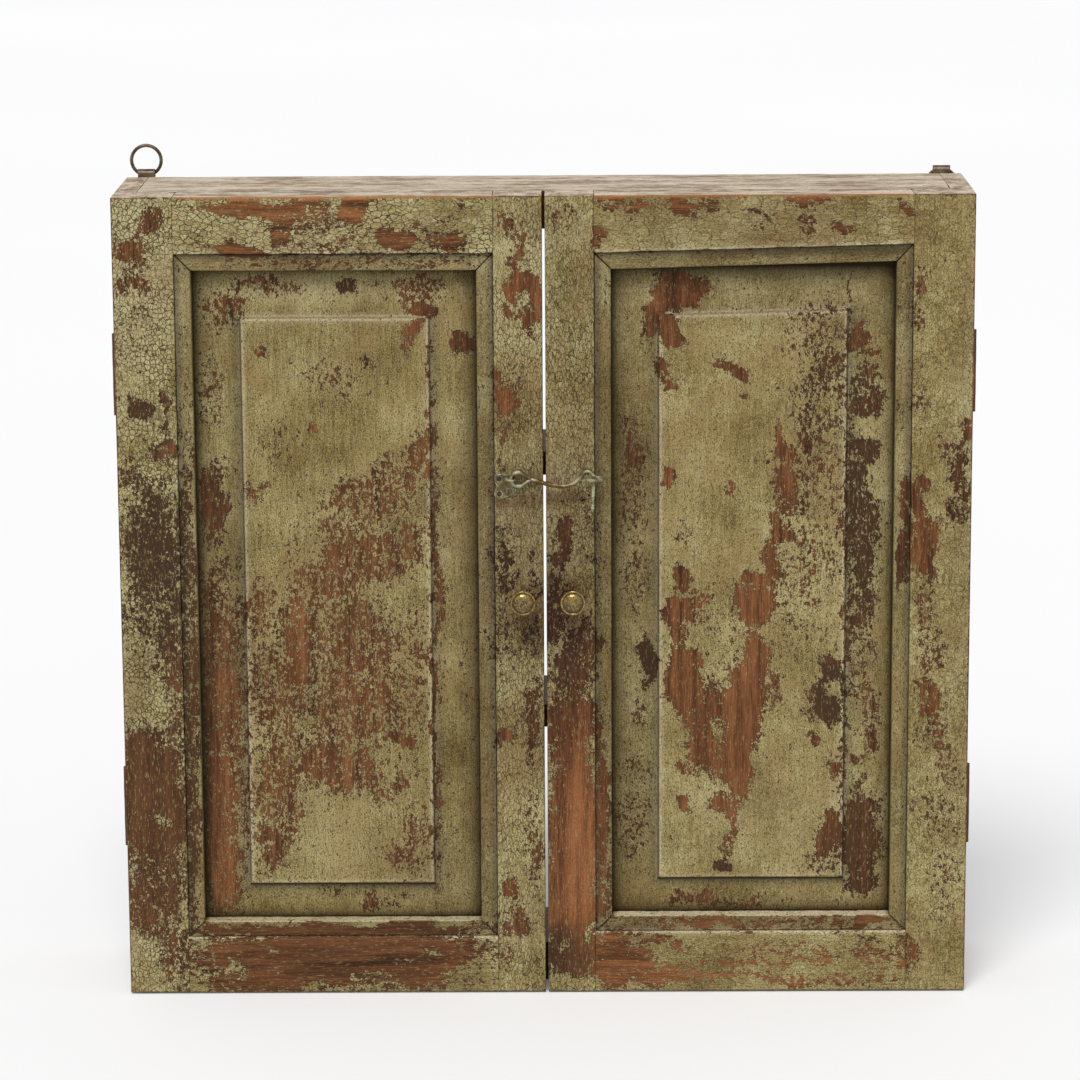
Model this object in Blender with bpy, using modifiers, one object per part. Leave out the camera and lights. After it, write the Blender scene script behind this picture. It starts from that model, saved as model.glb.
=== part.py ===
"""Two-door wall cupboard: an open-backed carcass with two shelves, panelled doors on butt
hinges, a hook latch, two knobs and two ring hangers.

Metres, +Z up, front towards -Y. The origin is the middle of the carcass's underside.
"""

import math

import bmesh
import bpy
from mathutils import Matrix, Vector

# Carcass
CARCASS_WIDTH = 0.740
CARCASS_HEIGHT = 0.711
CARCASS_DEPTH = 0.108
SIDE_THICKNESS = 0.019
TOP_THICKNESS = 0.0335
BOTTOM_THICKNESS = 0.035
SHELF_THICKNESS = 0.021
UPPER_SHELF_HEIGHT = 0.482
LOWER_SHELF_HEIGHT = 0.2545
SHELF_HOUSING_DEPTH = 0.006

# Doors
DOOR_THICKNESS = 0.036
DOOR_SEAT_GAP = 0.0008
DOOR_FLOOR_GAP = 0.0008
MEETING_GAP = 0.0025
HINGE_STILE_WIDTH = 0.0525
MEETING_STILE_WIDTH = 0.042
TOP_RAIL_WIDTH = 0.0495
LEFT_BOTTOM_RAIL_WIDTH = 0.051
RIGHT_BOTTOM_RAIL_WIDTH = 0.055
LEFT_TOP_RAIL_TAPER = 0.0005
RIGHT_TOP_RAIL_TAPER = 0.0065
TENON_LENGTH = 0.022
TENON_THICKNESS = 0.012
TENON_DEPTH_IN_DOOR = 0.013
TENON_SHOULDER = 0.003
TENON_END_SHOULDER = 0.010
EDGE_ROUND = 0.0012

# Panels and mouldings, with depths measured back from the door's front face
GROOVE_DEPTH = 0.008
TONGUE_PLAY = 0.0012
TONGUE_THICKNESS = 0.0075
PANEL_EDGE_RECESS = 0.0155
FIELD_RECESS = 0.008
FIELD_STEP = 0.004
FIELD_STEP_DRAFT = 0.0025
FIELD_SIDE_MARGIN = 0.040
FIELD_TOP_MARGIN = 0.041
FIELD_BOTTOM_MARGIN = 0.031
MOULDING_WIDTH = 0.0145
MOULDING_STEP = 0.0022
MOULDING_HOLLOW = 0.0004
MOULDING_INNER_DROP = 0.0006
MOULDING_ARRIS = 0.0012
MOULDING_FACETS = 4
MITRE_GAP = 0.0006

# Butt hinges
HINGE_LENGTH = 0.072
HINGE_FROM_TOP = 0.159
HINGE_FROM_BOTTOM = 0.163
LEAF_WIDTH = 0.0145
LEAF_THICKNESS = 0.0012
PIN_RADIUS = 0.0012
PIN_CLEARANCE = 0.0002
PIN_PROUD = 0.0004
KNUCKLE_COUNT = 5
KNUCKLE_GAP = 0.0003
HINGE_SCREW_INSET = 0.0085
HINGE_SCREW_SPACING = 0.024

# Screws and nails
SCREW_LENGTH = 0.014
SCREW_SHANK_RADIUS = 0.0013
SCREW_HEAD_RADIUS = 0.0024
SCREW_HEAD_DEPTH = 0.0011
SCREW_TIP = 0.003
SCREW_PROUD = 0.00015
NAIL_LENGTH = 0.045
NAIL_RADIUS = 0.0012
NAIL_HEAD_RADIUS = 0.0026
NAIL_HEAD_DEPTH = 0.0012
NAIL_TIP = 0.004
NAIL_EDGE_DISTANCE = 0.020
NAIL_SUNK = 0.0001

# Knobs
KNOB_HEIGHT = 0.358
LEFT_KNOB_FROM_MIDDLE = 0.0191
RIGHT_KNOB_FROM_MIDDLE = 0.0242
KNOB_RADIUS = 0.011
KNOB_PROJECTION = 0.0205
KNOB_DOME_DEPTH = 0.0038
KNOB_RIM_BEAD = 0.0011
KNOB_RIM_DEPTH = 0.0026
KNOB_RIM_TUCK = 0.0008
KNOB_UNDERCUT = 0.0021
KNOB_DOME_FACETS = 4
KNOB_NECK_RADIUS = 0.004
KNOB_ROSE_RADIUS = 0.0068
KNOB_ROSE_DEPTH = 0.0018
KNOB_SHANK_RADIUS = 0.0022
KNOB_SHANK_LENGTH = 0.020

# Hook latch
LATCH_HEIGHT = 0.465
LATCH_PIVOT_FROM_MIDDLE = 0.0225
PLATE_THICKNESS = 0.0012
PLATE_LOBE_RADIUS = 0.0044
PLATE_WAIST = 0.0022
PLATE_SCREW_FROM_PIVOT = 0.0166
PLATE_SCREW_SPACING = 0.0132
PLATE_UPPER_ARC = (75, 215)
PLATE_LOWER_ARC = (145, 280)
PLATE_ROLL_RADIUS = 0.0024
PLATE_MARGIN = 0.0006
HOOK_RING_RADIUS = 0.0062
HOOK_LOOP_TIP = 0.0112
HOOK_WIRE_RADIUS = 0.00175
HOOK_PLAY = 0.0008
STAPLE_WIRE_RADIUS = 0.0012
STAPLE_PLAY = 0.0006
HOOK_TIP_RADIUS = 0.0014
HOOK_DIP = 0.0049
HOOK_DIP_FROM_PIN = 0.027
HOOK_HEEL = 0.0028
HOOK_HEEL_FROM_PIN = 0.0175
HOOK_ARCH_WIDTH = 0.0104
HOOK_ARCH_RISE = 0.0064
HOOK_ARCH_START = math.radians(30)
HOOK_PIN_LENGTH = 0.0279
HOOK_PIN_RAKE = 0.001
EYE_FROM_MIDDLE = 0.0442
EYE_RISE = 0.0014
EYE_RING_RADIUS = 0.0072
EYE_WIRE_RADIUS = 0.0015
EYE_STANDOFF = 0.0105
EYE_SHANK_IN_WOOD = 0.015
EYE_LOOP_ARC = math.radians(295)
EYE_PIN_OFFSET = 0.0017

# Ring hangers
RING_RADIUS = 0.0132
RING_WIRE_RADIUS = 0.0016
RING_PLAY = 0.0004
RING_AXIS_RISE = 0.0024
STRAP_FROM_END = 0.017
STRAP_WIDTH = 0.015
STRAP_THICKNESS = 0.0008
STRAP_TAIL = 0.016
STRAP_SCREW_DROP = 0.009
STRAP_SCREW_SPREAD = 0.0045

# Fit of pieces that seat on each other, and how far a cutter runs past a face
CLEARANCE = 0.0003
OVERCUT = 0.002

# Fineness of round shapes
ROUND_SIDES = 10
FINE_SIDES = 24
ARC_STEPS = 6
LOOP_STEPS = 20
RING_STEPS = 28
PATH_STEPS = 3
SHARP_ANGLE = math.radians(35)
SAME_POINT = 1e-6

# Planes and axes worked out from the sizes above
HALF_WIDTH = CARCASS_WIDTH / 2
CARCASS_FRONT = -CARCASS_DEPTH / 2
CARCASS_BACK = CARCASS_DEPTH / 2
DOOR_BACK = CARCASS_FRONT - DOOR_SEAT_GAP
DOOR_FRONT = DOOR_BACK - DOOR_THICKNESS
BARREL_RADIUS = PIN_RADIUS + PIN_CLEARANCE + LEAF_THICKNESS
HINGE_AXIS_X = HALF_WIDTH + BARREL_RADIUS + CLEARANCE
HINGE_AXIS_Y = CARCASS_FRONT - DOOR_SEAT_GAP / 2
HINGE_HEIGHTS = {
    "upper": CARCASS_HEIGHT - HINGE_FROM_TOP,
    "lower": HINGE_FROM_BOTTOM,
}
HINGE_SCREW_STEPS = (-HINGE_SCREW_SPACING, 0.0, HINGE_SCREW_SPACING)
SIDES = {"left": -1, "right": 1}

RING_SAGITTA = RING_RADIUS - math.sqrt(RING_RADIUS**2 - (STRAP_WIDTH / 2) ** 2)
RING_ENTRY_COSINE = math.sqrt(1 - (STRAP_WIDTH / 2 / RING_RADIUS) ** 2)
STRAP_BORE = RING_SAGITTA / 2 + RING_WIRE_RADIUS / RING_ENTRY_COSINE + RING_PLAY
STRAP_OUTER = STRAP_BORE + STRAP_THICKNESS
STRAP_CENTRE_X = HALF_WIDTH - STRAP_FROM_END
RING_AXIS_Y = CARCASS_BACK + CLEARANCE + STRAP_OUTER
RING_AXIS_Z = CARCASS_HEIGHT + RING_AXIS_RISE
RING_CENTRE_ARM = RING_RADIUS - RING_SAGITTA / 2

HOOK_PIVOT = Vector((-LATCH_PIVOT_FROM_MIDDLE, DOOR_FRONT, LATCH_HEIGHT))
HOOK_RING_STANDOFF = PLATE_THICKNESS + HOOK_PLAY + HOOK_WIRE_RADIUS


def clear_scene():
    for obj in list(bpy.data.objects):
        bpy.data.objects.remove(obj, do_unlink=True)


def new_collection(name):
    collection = bpy.data.collections.new(name)
    bpy.context.scene.collection.children.link(collection)
    return collection


def make_material(name, colour, roughness, metallic):
    material = bpy.data.materials.new(name)
    material.use_nodes = True
    shader = material.node_tree.nodes["Principled BSDF"]
    shader.inputs["Base Color"].default_value = (*colour, 1.0)
    shader.inputs["Roughness"].default_value = roughness
    shader.inputs["Metallic"].default_value = metallic
    material.diffuse_color = (*colour, 1.0)
    return material


clear_scene()
PARTS = new_collection("wall_cupboard")
CUTTERS = new_collection("cutters")
PAINTED_WOOD = make_material("painted_wood", (0.25, 0.235, 0.125), 0.72, 0.0)
BARE_WOOD = make_material("bare_wood", (0.16, 0.075, 0.04), 0.7, 0.0)
BRASS = make_material("brass", (0.55, 0.40, 0.14), 0.28, 1.0)
BRONZE = make_material("bronze", (0.30, 0.27, 0.17), 0.5, 0.9)
IRON = make_material("iron", (0.14, 0.11, 0.085), 0.6, 0.8)


# Mesh building


def finish_mesh(bm, name):
    """The closed solids in bm as a mesh with its faces pointing out."""
    bmesh.ops.recalc_face_normals(bm, faces=bm.faces)
    mesh = bpy.data.meshes.new(name)
    bm.to_mesh(mesh)
    bm.free()
    return mesh


def add_piece(name, mesh, material, parent=None, smooth=False):
    """One sub-part. A parent empty stands on the axis that the piece turns about."""
    piece = bpy.data.objects.new(name, mesh)
    PARTS.objects.link(piece)
    mesh.materials.append(material)
    if smooth:
        mesh.shade_smooth()
        mesh.set_sharp_from_angle(angle=SHARP_ANGLE)
    if parent:
        piece.parent = parent
        piece.matrix_parent_inverse = Matrix.Translation(-parent.location)
    return piece


def add_axis(name, location):
    empty = bpy.data.objects.new(name, None)
    empty.location = location
    PARTS.objects.link(empty)
    return empty


def add_box(bm, low, high):
    low = Vector(low)
    high = Vector(high)
    size = Matrix.Diagonal((high - low).to_4d())
    size[3][3] = 1.0
    place = Matrix.Translation((low + high) / 2)
    return bmesh.ops.create_cube(bm, size=1.0, matrix=place @ size)["verts"]


def add_rod(bm, start, end, radius, sides=ROUND_SIDES):
    start = Vector(start)
    end = Vector(end)
    turn = Vector((0, 0, 1)).rotation_difference(end - start).to_matrix().to_4x4()
    bmesh.ops.create_cone(
        bm,
        cap_ends=True,
        segments=sides,
        radius1=radius,
        radius2=radius,
        depth=(end - start).length,
        matrix=Matrix.Translation((start + end) / 2) @ turn,
    )


def add_prism(bm, outline, depth):
    """A flat outline of 3-D points, extruded along the vector depth."""
    face = bm.faces.new([bm.verts.new(point) for point in outline])
    grown = bmesh.ops.extrude_face_region(bm, geom=[face])["geom"]
    moved = [item for item in grown if isinstance(item, bmesh.types.BMVert)]
    bmesh.ops.translate(bm, verts=moved, vec=depth)


def add_loft(bm, rings):
    """A closed solid through outlines that have the same number of points."""
    rows = [[bm.verts.new(point) for point in ring] for ring in rings]
    for row, following in zip(rows, rows[1:]):
        for i, corner in enumerate(row):
            j = (i + 1) % len(row)
            bm.faces.new((corner, row[j], following[j], following[i]))
    bm.faces.new(rows[0][::-1])
    bm.faces.new(rows[-1])


def evaluated_mesh(maker, name):
    """The mesh that an object gives once its curve or modifiers are worked out."""
    bpy.context.view_layer.update()
    result = maker.evaluated_get(bpy.context.evaluated_depsgraph_get())
    mesh = bpy.data.meshes.new_from_object(result)
    mesh.name = name
    bm = bmesh.new()
    bm.from_mesh(mesh)
    bmesh.ops.remove_doubles(bm, verts=bm.verts, dist=SAME_POINT)
    bmesh.ops.recalc_face_normals(bm, faces=bm.faces)
    bm.to_mesh(mesh)
    bm.free()
    bpy.data.objects.remove(maker, do_unlink=True)
    return mesh


def turned_mesh(name, profile, steps):
    """A turned solid about Z. The profile holds (radius, height) pairs, top to bottom."""
    outline = bpy.data.meshes.new(name)
    outline.from_pydata(
        [(radius, 0.0, height) for radius, height in profile],
        [(i, i + 1) for i in range(len(profile) - 1)],
        [],
    )
    maker = bpy.data.objects.new(name, outline)
    CUTTERS.objects.link(maker)
    screw = maker.modifiers.new("turn", "SCREW")
    screw.steps = steps
    screw.render_steps = steps
    screw.use_merge_vertices = True
    screw.merge_threshold = SAME_POINT
    return evaluated_mesh(maker, name)


def wire_mesh(name, points, radii, closed=False):
    """A round wire along points, with one radius for each point."""
    curve = bpy.data.curves.new(name, "CURVE")
    curve.dimensions = "3D"
    curve.bevel_depth = 1.0
    curve.bevel_resolution = 2
    curve.use_fill_caps = True
    spline = curve.splines.new("POLY")
    spline.points.add(len(points) - 1)
    for place, point, radius in zip(spline.points, points, radii):
        place.co = (*point, 1.0)
        place.radius = radius
    spline.use_cyclic_u = closed
    maker = bpy.data.objects.new(name, curve)
    CUTTERS.objects.link(maker)
    return evaluated_mesh(maker, name)


def smooth_path(points, steps):
    """Points on a smooth curve through the given points, steps to each stretch."""
    ends = [2 * points[0] - points[1], *points, 2 * points[-1] - points[-2]]
    path = []
    for before, start, end, after in zip(ends, ends[1:], ends[2:], ends[3:]):
        for k in range(steps):
            t = k / steps
            path.append(
                0.5
                * (
                    2 * start
                    + (end - before) * t
                    + (2 * before - 5 * start + 4 * end - after) * t**2
                    + (3 * start - before - 3 * end + after) * t**3
                )
            )
    return [*path, points[-1]]


def add_cutter(name, mesh):
    tool = bpy.data.objects.new(name, mesh)
    CUTTERS.objects.link(tool)
    tool.hide_render = True
    tool.display_type = "WIRE"
    return tool


def combine(target, tool, operation="DIFFERENCE"):
    modifier = target.modifiers.new(tool.name, "BOOLEAN")
    modifier.operation = operation
    modifier.solver = "EXACT"
    modifier.object = tool


def soften(target, edges):
    """Round the listed straight edges of a board that has no cuts yet."""
    bm = bmesh.new()
    bm.from_mesh(target.data)
    chosen = [edge for edge in bm.edges if edges(edge)]
    bmesh.ops.bevel(
        bm, geom=chosen, offset=EDGE_ROUND, segments=2, profile=0.5, affect="EDGES"
    )
    bm.to_mesh(target.data)
    bm.free()


# Screws and nails


def head_profile(radius, clearance):
    """The face of a fastener's head or, with a clearance, the mouth of its hole."""
    if clearance:
        radius += clearance
        return [(0.0, OVERCUT), (radius, OVERCUT), (radius, 0.0)]
    return [(0.0, 0.0), (radius, 0.0)]


def screw_profile(clearance):
    tip = SCREW_LENGTH + clearance
    neck = SCREW_HEAD_DEPTH + clearance
    return [
        *head_profile(SCREW_HEAD_RADIUS, clearance),
        (SCREW_SHANK_RADIUS + clearance, -neck),
        (SCREW_SHANK_RADIUS + clearance, SCREW_TIP - tip),
        (0.0, -tip),
    ]


def nail_profile(clearance):
    tip = NAIL_LENGTH + clearance
    neck = NAIL_HEAD_DEPTH + clearance
    return [
        *head_profile(NAIL_HEAD_RADIUS, clearance),
        (NAIL_HEAD_RADIUS + clearance, -neck),
        (NAIL_RADIUS + clearance, -neck),
        (NAIL_RADIUS + clearance, NAIL_TIP - tip),
        (0.0, -tip),
    ]


SCREW = turned_mesh("screw", screw_profile(0.0), ROUND_SIDES)
SCREW_HOLE = turned_mesh("screw_hole", screw_profile(CLEARANCE), ROUND_SIDES)
NAIL = turned_mesh("nail", nail_profile(0.0), ROUND_SIDES)
NAIL_HOLE = turned_mesh("nail_hole", nail_profile(CLEARANCE), ROUND_SIDES)


def facing(location, outward):
    """A place whose +Z looks along outward, the way that a screw's head faces."""
    turn = Vector((0, 0, 1)).rotation_difference(Vector(outward)).to_matrix().to_4x4()
    return Matrix.Translation(location) @ turn


def add_fastener(name, mesh, place, material, parent=None):
    copy = mesh.copy()
    copy.transform(place)
    return add_piece(name, copy, material, parent, smooth=True)


def copies_tool(name, mesh, places):
    """Copies of a screw, or of its hole, as one cutter."""
    bm = bmesh.new()
    for place in places:
        copy = mesh.copy()
        copy.transform(place)
        bm.from_mesh(copy)
        bpy.data.meshes.remove(copy)
    return add_cutter(name, finish_mesh(bm, name))


def drill(targets, name, mesh, places):
    tool = copies_tool(name, mesh, places)
    for target in targets:
        combine(target, tool)


# Carcass


def board(name, low, high, material, parent=None, round_front=False):
    bm = bmesh.new()
    add_box(bm, low, high)
    piece = add_piece(name, finish_mesh(bm, name), material, parent)
    if round_front:
        front = min(low[1], high[1])
        soften(
            piece,
            lambda edge: all(abs(v.co.y - front) < SAME_POINT for v in edge.verts),
        )
    return piece


def shelf(name, height):
    """A shelf whose ends stand in housings in the two sides."""
    end = HALF_WIDTH - SIDE_THICKNESS + SHELF_HOUSING_DEPTH - CLEARANCE
    low = (-end, CARCASS_FRONT, height - SHELF_THICKNESS)
    return board(name, low, (end, CARCASS_BACK, height), BARE_WOOD)


def shelf_housings():
    """Slots across both sides, a clearance larger than the shelves' ends."""
    bm = bmesh.new()
    end = HALF_WIDTH - SIDE_THICKNESS + SHELF_HOUSING_DEPTH
    for height in (UPPER_SHELF_HEIGHT, LOWER_SHELF_HEIGHT):
        add_box(
            bm,
            (-end, CARCASS_FRONT - OVERCUT, height - SHELF_THICKNESS - CLEARANCE),
            (end, CARCASS_BACK + OVERCUT, height + CLEARANCE),
        )
    return add_cutter("shelf_housings", finish_mesh(bm, "shelf_housings"))


def nail_places(sign):
    """Two nails through a side into the end of the top board, and two into the bottom."""
    ys = {
        "front": CARCASS_FRONT + NAIL_EDGE_DISTANCE,
        "back": CARCASS_BACK - NAIL_EDGE_DISTANCE,
    }
    heights = {
        "top": CARCASS_HEIGHT - TOP_THICKNESS / 2,
        "bottom": BOTTOM_THICKNESS / 2,
    }
    face = sign * (HALF_WIDTH - NAIL_SUNK)
    return {
        f"{level}_{end}": facing((face, y, z), (sign, 0, 0))
        for level, z in heights.items()
        for end, y in ys.items()
    }


def build_carcass():
    inner = HALF_WIDTH - SIDE_THICKNESS
    housings = shelf_housings()
    pieces = {}
    for name, sign in SIDES.items():
        x_range = sorted((sign * inner, sign * HALF_WIDTH))
        pieces[name] = board(
            f"side_{name}",
            (x_range[0], CARCASS_FRONT, 0.0),
            (x_range[1], CARCASS_BACK, CARCASS_HEIGHT),
            PAINTED_WOOD,
        )
        combine(pieces[name], housings)
    end = inner - CLEARANCE
    pieces["top"] = board(
        "top_board",
        (-end, CARCASS_FRONT, CARCASS_HEIGHT - TOP_THICKNESS),
        (end, CARCASS_BACK, CARCASS_HEIGHT),
        PAINTED_WOOD,
    )
    pieces["bottom"] = board(
        "bottom_board",
        (-end, CARCASS_FRONT, 0.0),
        (end, CARCASS_BACK, BOTTOM_THICKNESS),
        BARE_WOOD,
    )
    shelf("upper_shelf", UPPER_SHELF_HEIGHT)
    shelf("lower_shelf", LOWER_SHELF_HEIGHT)
    for name, sign in SIDES.items():
        places = nail_places(sign)
        drill(
            (pieces[name], pieces["top"], pieces["bottom"]),
            f"{name}_nail_holes",
            NAIL_HOLE,
            places.values(),
        )
        for spot, place in places.items():
            add_fastener(f"nail_{name}_{spot}", NAIL, place, IRON)
    return pieces


# Butt hinges


def knuckle_outline(sign, toward):
    """A knuckle and the tab that joins it to its leaf, seen from above.

    sign is the side of the cupboard, and toward is -1 for the door's leaf, +1 for the
    carcass's. The barrel's circle runs from one face of the tab round to the other.
    """
    near = DOOR_SEAT_GAP / 2
    far = near + LEAF_THICKNESS
    start = math.asin(far / BARREL_RADIUS)
    stop = math.asin(near / BARREL_RADIUS)
    first = math.pi - start
    sweep = 2 * math.pi - (start - stop)
    circle = [first - sweep * k / ROUND_SIDES for k in range(ROUND_SIDES + 1)]
    outline = [(BARREL_RADIUS * math.cos(a), BARREL_RADIUS * math.sin(a)) for a in circle]
    root = BARREL_RADIUS + CLEARANCE + LEAF_THICKNESS
    outline += [(-root, near), (-root, far)]
    return [
        (sign * (HINGE_AXIS_X + x), HINGE_AXIS_Y + toward * y) for x, y in outline
    ]


def knuckle_spans(centre):
    """Heights of the knuckles of one hinge, lowest first."""
    pitch = (HINGE_LENGTH + KNUCKLE_GAP) / KNUCKLE_COUNT
    low = centre - HINGE_LENGTH / 2
    feet = [low + i * pitch for i in range(KNUCKLE_COUNT)]
    return [(foot, foot + pitch - KNUCKLE_GAP) for foot in feet]


def hinge_leaf(name, sign, centre, toward, parent):
    """A leaf with every other knuckle: the carcass's leaf has the end knuckles."""
    face = HINGE_AXIS_Y + toward * DOOR_SEAT_GAP / 2
    y_range = sorted((face, face + toward * LEAF_THICKNESS))
    x_range = sorted((sign * HALF_WIDTH, sign * (HALF_WIDTH - LEAF_WIDTH)))
    half = HINGE_LENGTH / 2
    leaf = board(
        name,
        (x_range[0], y_range[0], centre - half),
        (x_range[1], y_range[1], centre + half),
        IRON,
        parent,
    )
    bm = bmesh.new()
    outline = knuckle_outline(sign, toward)
    for low, high in knuckle_spans(centre)[0 if toward > 0 else 1 :: 2]:
        add_prism(bm, [(x, y, low) for x, y in outline], Vector((0, 0, high - low)))
    knuckles = add_cutter(f"{name}_knuckles", finish_mesh(bm, f"{name}_knuckles"))
    combine(leaf, knuckles, "UNION")
    return leaf


def hinge_axis_point(sign, z):
    return Vector((sign * HINGE_AXIS_X, HINGE_AXIS_Y, z))


def hinge_bore(name, sign, centre):
    bm = bmesh.new()
    reach = HINGE_LENGTH / 2 + OVERCUT
    add_rod(
        bm,
        hinge_axis_point(sign, centre - reach),
        hinge_axis_point(sign, centre + reach),
        PIN_RADIUS + PIN_CLEARANCE,
    )
    return add_cutter(name, finish_mesh(bm, name))


def leaf_pocket(name, sign, centre, toward):
    """The shallow recess that a leaf is let into, open at the board's outer side."""
    face = HINGE_AXIS_Y + toward * DOOR_SEAT_GAP / 2
    floor = face + toward * (LEAF_THICKNESS + CLEARANCE)
    y_range = sorted((face - toward * OVERCUT, floor))
    x_range = sorted(
        (sign * (HALF_WIDTH + OVERCUT), sign * (HALF_WIDTH - LEAF_WIDTH - CLEARANCE))
    )
    reach = HINGE_LENGTH / 2 + CLEARANCE
    bm = bmesh.new()
    add_box(bm, (x_range[0], y_range[0], centre - reach), (x_range[1], y_range[1], centre + reach))
    return add_cutter(name, finish_mesh(bm, name))


def leaf_screws(sign, centre, toward):
    """Places of a leaf's screws, with their heads a little proud of the leaf's open face."""
    x = sign * (HALF_WIDTH - HINGE_SCREW_INSET)
    y = HINGE_AXIS_Y + toward * (DOOR_SEAT_GAP / 2 - SCREW_PROUD)
    return [facing((x, y, centre + step), (0, -toward, 0)) for step in HINGE_SCREW_STEPS]


def build_hinges(side, carcass_side, stile, door_axis):
    """Both hinges of one door. Each leaf is one solid with its three screws."""
    sign = SIDES[side]
    for level, centre in HINGE_HEIGHTS.items():
        label = f"{side}_{level}_hinge"
        bore = hinge_bore(f"{label}_bore", sign, centre)
        for role, toward, wood, parent in (
            ("carcass", 1, carcass_side, None),
            ("door", -1, stile, door_axis),
        ):
            leaf = hinge_leaf(f"{label}_{role}_leaf", sign, centre, toward, parent)
            combine(leaf, bore)
            combine(wood, leaf_pocket(f"{label}_{role}_pocket", sign, centre, toward))
            places = leaf_screws(sign, centre, toward)
            combine(leaf, copies_tool(f"{label}_{role}_screws", SCREW, places), "UNION")
            drill([wood], f"{label}_{role}_screw_holes", SCREW_HOLE, places)
        bm = bmesh.new()
        reach = HINGE_LENGTH / 2 + PIN_PROUD
        add_rod(
            bm,
            hinge_axis_point(sign, centre - reach),
            hinge_axis_point(sign, centre + reach),
            PIN_RADIUS,
        )
        add_piece(f"{label}_pin", finish_mesh(bm, label), IRON, smooth=True)


# Doors


def offset_quad(quad, insets):
    """Move each side of a four-sided outline inwards, bottom side first, then meet them again."""
    lines = []
    for i, inset in enumerate(insets):
        start = Vector(quad[i])
        along = (Vector(quad[(i + 1) % 4]) - start).normalized()
        lines.append((start + Vector((-along.y, along.x)) * inset, along))
    corners = []
    for (p, u), (q, v) in zip([lines[-1], *lines[:-1]], lines):
        t = (q - p).cross(v) / u.cross(v)
        corners.append(p + u * t)
    return corners


class Door:
    """Sizes of one door. Distances across it are measured out from the cupboard's middle."""

    def __init__(self, side, bottom_rail, top_taper, knob_from_middle):
        self.side = side
        self.sign = SIDES[side]
        self.knob_from_middle = knob_from_middle
        self.meeting_edge = MEETING_GAP / 2
        self.open_meeting = self.meeting_edge + MEETING_STILE_WIDTH
        self.open_hinge = HALF_WIDTH - HINGE_STILE_WIDTH
        self.bottom = DOOR_FLOOR_GAP
        self.top = CARCASS_HEIGHT
        self.open_bottom = self.bottom + bottom_rail
        self.open_top_meeting = self.top - TOP_RAIL_WIDTH
        self.open_top_hinge = self.open_top_meeting + top_taper
        self.opening = [
            (self.open_meeting, self.open_bottom),
            (self.open_hinge, self.open_bottom),
            (self.open_hinge, self.open_top_hinge),
            (self.open_meeting, self.open_top_meeting),
        ]
        self.axis = add_axis(f"{side}_door_axis", hinge_axis_point(self.sign, 0.0))

    def inset(self, *insets):
        return offset_quad(self.opening, insets if len(insets) == 4 else insets * 4)

    def point(self, across, height, recess):
        return (self.sign * across, DOOR_FRONT + recess, height)

    def outline(self, quad, recess):
        return [self.point(across, height, recess) for across, height in quad]

    def span(self, near, far, low, high, front=0.0, back=DOOR_THICKNESS):
        """Corners of an upright box between two distances from the middle."""
        xs = sorted((self.sign * near, self.sign * far))
        return (
            (xs[0], DOOR_FRONT + front, low),
            (xs[1], DOOR_FRONT + back, high),
        )

    def top_edge(self, across):
        """Height of the top rail's lower edge."""
        share = (across - self.open_meeting) / (self.open_hinge - self.open_meeting)
        return self.open_top_meeting + share * (self.open_top_hinge - self.open_top_meeting)


def tenon_boxes(door, grow):
    """The two tenons of each rail, or their mortises when grow is the clearance."""
    front = TENON_DEPTH_IN_DOOR - grow
    back = TENON_DEPTH_IN_DOOR + TENON_THICKNESS + grow
    reach = TENON_LENGTH + grow
    rises = {
        "bottom": lambda edge: (
            door.bottom + TENON_END_SHOULDER,
            door.open_bottom - GROOVE_DEPTH - TENON_SHOULDER,
        ),
        "top": lambda edge: (
            door.top_edge(edge) + GROOVE_DEPTH + TENON_SHOULDER,
            door.top - TENON_END_SHOULDER,
        ),
    }
    boxes = {}
    for rail, rise in rises.items():
        for end, edge, out in (
            ("meeting", door.open_meeting, -1),
            ("hinge", door.open_hinge, 1),
        ):
            low, high = rise(edge)
            root = edge - out * TENON_SHOULDER
            tip = edge + out * reach
            boxes[rail, end] = door.span(root, tip, low - grow, high + grow, front, back)
    return boxes


def cutter_box(name, corners):
    bm = bmesh.new()
    add_box(bm, *corners)
    return add_cutter(name, finish_mesh(bm, name))


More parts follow.
